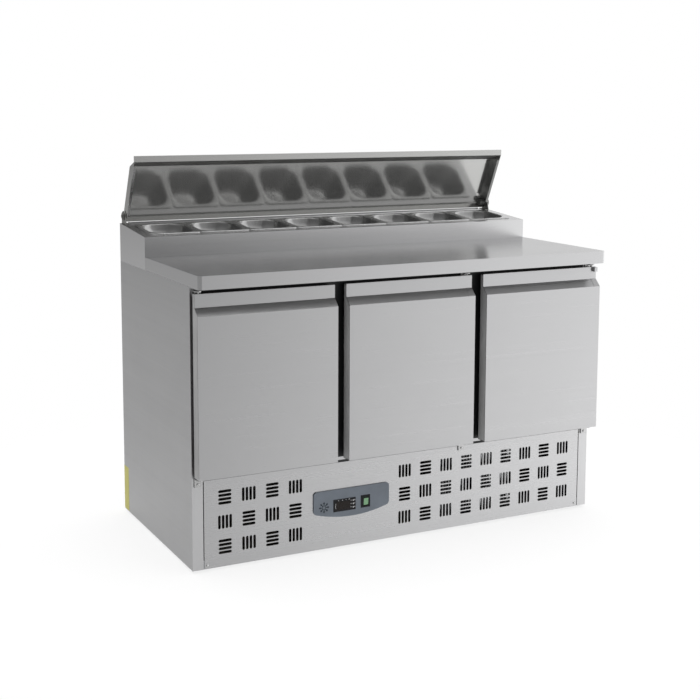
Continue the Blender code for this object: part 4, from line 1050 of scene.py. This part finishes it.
def fold_painted_shade():
    """Thin dull dark steel sheet on the inner side of the lid's sloped front fold: painted shade."""
    _, high = node_box("lid")
    reach = high.x - PAINTED_SHADE_END_GAP
    # On the fold's inner face, the distances outwards and upwards add up to this.
    inner_line = LID_FLAT_END + LID_TOP - LID_SHEET * math.sqrt(2)
    corners = box_outline(PAINTED_SHADE_START, PAINTED_SHADE_GAP, PAINTED_SHADE_END, PAINTED_SHADE_BACK)
    section = [(out, inner_line - offset - out) for out, offset in corners]
    bm = bmesh.new()
    ends = [[bm.verts.new(lid_point(x, out, up)) for out, up in section] for x in (-reach, reach)]
    add_prism(bm, *ends)
    add_mesh("lid_fold_painted_shade", bm, "painted_shade", "lid", ())


def rear_upstand():
    """Low folded edge along the back of the well housing, between the lid's hinges."""
    _, high = node_box("well_housing")
    reach = high.x - UPSTAND_END_GAP
    front, back = (high.y - gap for gap in UPSTAND_AT)
    bm = bmesh.new()
    add_box(bm, (-reach, front, high.z - UPSTAND_SINK), (reach, back, high.z + UPSTAND_HEIGHT))
    soften(add_mesh("rear_upstand", bm, "front", "cabinet", ()), UPSTAND_EDGE)


COIL_STEPS = 24
SPRING_AT = 0.0240
SPRING_LENGTH = 0.0200
SPRING_RADIUS = 0.0098
SPRING_TURNS = 5.5
SPRING_START = 0.4
SPRING_WIRE = 0.0013
# Rings of the wire clips around the hinge ears: distance outside the lid, radius, wire.
CLIPS_RIGHT = ((0.0066, 0.0186, 0.0012), (0.0092, 0.0120, 0.0010))
CLIPS_LEFT = ((0.0068, 0.0115, 0.0012), (0.0090, 0.0070, 0.0010))


def coil(x, length, radius, turns, start):
    """Points of a coil about the lid's hinge line."""
    steps = int(turns * COIL_STEPS)
    points = []
    for step in range(steps + 1):
        angle = start + 2 * math.pi * turns * step / steps
        along = x + length * step / steps
        points.append(LID_AXIS + Vector((along, radius * math.cos(angle), radius * math.sin(angle))))
    return points


def clip_rings(side, lid_end, rings):
    """Closed rings around the hinge line, outside one end of the lid."""
    routes = []
    for gap, radius, wire in rings:
        points = coil(side * (lid_end + gap), 0.0, radius, 1.0, 0.0)[:-1]
        routes.append((points, wire, True))
    return routes


def lid_springs():
    """Counterbalance spring inside the right corner, and the wire clips around both hinge ears."""
    _, high = node_box("lid")
    spring = coil(high.x - SPRING_AT, SPRING_LENGTH, SPRING_RADIUS, SPRING_TURNS, SPRING_START)
    routes = [(spring, SPRING_WIRE, False)] + clip_rings(1, high.x, CLIPS_RIGHT)
    wires("lid_spring_right", routes, "spring")
    wires("lid_clip_left", clip_rings(-1, high.x, CLIPS_LEFT), "spring")


# ---- body


# Radius of the softened edges of the CAD nodes, and the number of steps in them.
SOFT_EDGES = (
    (0.0018, 4, ["worktop", "well_housing"]),
    (0.0016, 3, [f"door_{i}_skin" for i in DOOR_NUMBERS]),
    (0.0012, 3, ["front_frame", "controller", "switch_housing"]),
    (0.0010, 3, ["lid", "control_plate"]),
    (0.0008, 3, ["rocker_switch", "cable_gland", "foot_1", "foot_2", "foot_3", "foot_4"]),
    (0.0006, 3, ["side_panel_left", "side_panel_right", "lid_hinge_left", "lid_hinge_right"]),
    (0.0005, 3, ["cabinet_liner", "base_tray", "key_1", "key_2", "key_3"]),
    (0.0005, 3, [f"door_{i}_inner" for i in DOOR_NUMBERS]),
    (0.0004, 3, ["back_panel"]),
    (0.0004, 3, [f"door_{i}_hinge_{end}" for i in DOOR_NUMBERS for end in ("top", "bottom")]),
    (0.0003, 3, ["sill_strip"]),
)
STRIP_WIDTH = 0.0450
STRIP_THICKNESS = 0.0003
STRIP_LOW = 0.0100
STRIP_HIGH = 0.1520


def soften_nodes():
    """Round the edges of the CAD nodes that keep their plain shapes."""
    for width, steps, names in SOFT_EDGES:
        for name in names:
            soften(NODES[name], width, steps)


def corner_strip():
    """Plain yellow strip low on the rear edge of the left side."""
    low, high = node_box("side_panel_left")
    bm = bmesh.new()
    add_box(bm, (low.x - STRIP_THICKNESS, high.y - STRIP_WIDTH, STRIP_LOW), (low.x, high.y, STRIP_HIGH))
    add_mesh("corner_strip", bm, "yellow", "cabinet", ())


# ---- studio


FLOOR_RADIUS = 1.75
FLOOR_TONE = 0.93
FLOOR_GLOW = 0.12
FLOOR_ROUGHNESS = 0.9
FLOOR_SPECULAR = 0.1
# How far the floor is see-through near the object and at its edge, and between which distances it changes.
FLOOR_CLEAR = (0.75, 1.0)
FLOOR_FADE = (0.75, 1.60)


def studio_floor():
    """Pale floor that fades out into the white background."""
    bm = bmesh.new()
    bmesh.ops.create_circle(bm, cap_ends=True, segments=96, radius=FLOOR_RADIUS)
    mesh = bpy.data.meshes.new("studio_floor")
    bm.to_mesh(mesh)
    bm.free()
    floor = bpy.data.objects.new("studio_floor", mesh)
    bpy.context.scene.collection.objects.link(floor)
    shader = Shader("studio_floor")
    shader.set(Base_Color=(FLOOR_TONE, FLOOR_TONE, FLOOR_TONE, 1.0), Roughness=FLOOR_ROUGHNESS)
    shader.set(Emission_Color=(1.0, 1.0, 1.0, 1.0), Emission_Strength=FLOOR_GLOW)
    shader.set(Specular_IOR_Level=FLOOR_SPECULAR)
    distance = shader.node("ShaderNodeVectorMath", {"operation": "LENGTH"})
    shader.feed(distance.inputs[0], shader.place())
    fade = shader.span(distance.outputs["Value"], *FLOOR_CLEAR, *FLOOR_FADE)
    clear = shader.node("ShaderNodeBsdfTransparent")
    blend = shader.node("ShaderNodeMixShader")
    shader.feed(blend.inputs["Fac"], fade)
    shader.feed(blend.inputs[1], shader.principled.outputs["BSDF"])
    shader.feed(blend.inputs[2], clear.outputs["BSDF"])
    shader.feed(shader.tree.nodes["Material Output"].inputs["Surface"], blend.outputs["Shader"])
    mesh.materials.append(shader.material)


ROOM_LEVEL = 0.20
GROUND_LEVEL = 0.42
# Soft lights of the room: direction, cosines between which each comes up, and its level. They are a
# wide one at the right, one at the back right just over the horizon, a small one high at the front
# right, one overhead, and the lit ground below.
ROOM_LOBES = (
    ((0.97, -0.26, -0.10), 0.42, 1.00, 1.33),
    ((0.69, 0.72, 0.15), 0.90, 0.995, 0.82),
    ((0.55, -0.62, 0.56), 0.90, 0.98, 0.45),
    ((0.0, 0.0, 1.0), 0.25, 0.95, 0.30),
    ((0.0, 0.0, -1.0), -0.02, 0.20, GROUND_LEVEL),
)


def ramp(tree, value, start, end, gain):
    """Smooth step from nothing to a gain."""
    made = tree.nodes.new("ShaderNodeMapRange")
    made.interpolation_type = "SMOOTHSTEP"
    tree.links.new(value, made.inputs["Value"])
    for key, number in zip(("From Min", "From Max", "To Min", "To Max"), (start, end, 0.0, gain)):
        made.inputs[key].default_value = number
    return made.outputs["Result"]


def studio_room():
    """White behind the object; the room around it is a dim grey with soft lights to the right."""
    world = bpy.data.worlds.new("studio")
    world.use_nodes = True
    bpy.context.scene.world = world
    tree = world.node_tree
    tree.nodes.clear()
    direction = tree.nodes.new("ShaderNodeTexCoord").outputs["Generated"]
    total = None
    for axis, start, end, gain in ROOM_LOBES:
        dot = tree.nodes.new("ShaderNodeVectorMath")
        dot.operation = "DOT_PRODUCT"
        tree.links.new(direction, dot.inputs[0])
        dot.inputs[1].default_value = Vector(axis).normalized()
        add = tree.nodes.new("ShaderNodeMath")
        add.operation = "ADD"
        tree.links.new(ramp(tree, dot.outputs["Value"], start, end, gain), add.inputs[0])
        if total is None:
            add.inputs[1].default_value = ROOM_LEVEL
        else:
            tree.links.new(total, add.inputs[1])
        total = add.outputs["Value"]
    room = tree.nodes.new("ShaderNodeBackground")
    tree.links.new(total, room.inputs["Strength"])
    white = tree.nodes.new("ShaderNodeBackground")
    for background in (room, white):
        background.inputs["Color"].default_value = (1.0, 1.0, 1.0, 1.0)
    path = tree.nodes.new("ShaderNodeLightPath")
    mix = tree.nodes.new("ShaderNodeMixShader")
    out = tree.nodes.new("ShaderNodeOutputWorld")
    tree.links.new(path.outputs["Is Camera Ray"], mix.inputs["Fac"])
    tree.links.new(room.outputs["Background"], mix.inputs[1])
    tree.links.new(white.outputs["Background"], mix.inputs[2])
    tree.links.new(mix.outputs["Shader"], out.inputs["Surface"])


OVERHEAD_ENERGY = 2.0
OVERHEAD_WIDTH = math.radians(68)
OVERHEAD_LEAN = math.radians(-5)


def overhead_light():
    """Very wide soft lamp above the object."""
    lamp = bpy.data.lights.new("overhead", "SUN")
    lamp.energy = OVERHEAD_ENERGY
    lamp.angle = OVERHEAD_WIDTH
    obj = bpy.data.objects.new("overhead", lamp)
    bpy.context.scene.collection.objects.link(obj)
    obj.rotation_euler = (OVERHEAD_LEAN, 0.0, 0.0)


# The focal length is a share of the picture's width, and so is the shift.
CAMERA_AT = Vector((-1.8689, -3.5752, 1.3300))
CAMERA_HEADING = math.radians(27.027)
CAMERA_DOWN = math.radians(7.158)
CAMERA_ROLL = math.radians(0.20)
FOCAL_SHARE = 1282.0 / 700.0
SHIFT_SHARE = -90.0 / 700.0
SENSOR_WIDTH = 36.0
CLIP_END = 60.0


def studio_camera():
    """Camera at the photograph's angle, with its slight roll."""
    data = bpy.data.cameras.new("camera")
    data.sensor_fit = "HORIZONTAL"
    data.sensor_width = SENSOR_WIDTH
    data.lens = SENSOR_WIDTH * FOCAL_SHARE
    data.shift_y = SHIFT_SHARE
    data.clip_end = CLIP_END
    camera = bpy.data.objects.new("camera", data)
    bpy.context.scene.collection.objects.link(camera)
    forward = Vector(
        (
            math.sin(CAMERA_HEADING) * math.cos(CAMERA_DOWN),
            math.cos(CAMERA_HEADING) * math.cos(CAMERA_DOWN),
            -math.sin(CAMERA_DOWN),
        )
    )
    right = Vector((math.cos(CAMERA_HEADING), -math.sin(CAMERA_HEADING), 0.0))
    up = right.cross(forward)
    tilted_right = right * math.cos(CAMERA_ROLL) + up * math.sin(CAMERA_ROLL)
    tilted_up = up * math.cos(CAMERA_ROLL) - right * math.sin(CAMERA_ROLL)
    turn = Matrix((tilted_right, tilted_up, -forward)).transposed().to_4x4()
    camera.matrix_world = Matrix.Translation(CAMERA_AT) @ turn
    bpy.context.scene.camera = camera


def build():
    """Make every piece."""
    vent_panel()
    plinth_screws()
    snowflake()
    controller_details()
    rocker_mask()
    for name in PAN_NAMES:
        pan(name)
    for name in SHELF_NAMES:
        shelf(name)
    for number in DOOR_NUMBERS:
        door_details(number)
    corner_cap()
    lid_hems()
    fold_painted_shade()
    lid_springs()
    rear_upstand()
    corner_strip()
    soften_nodes()


build()
studio_floor()
studio_room()
overhead_light()
studio_camera()
bpy.context.scene.view_settings.view_transform = "Standard"
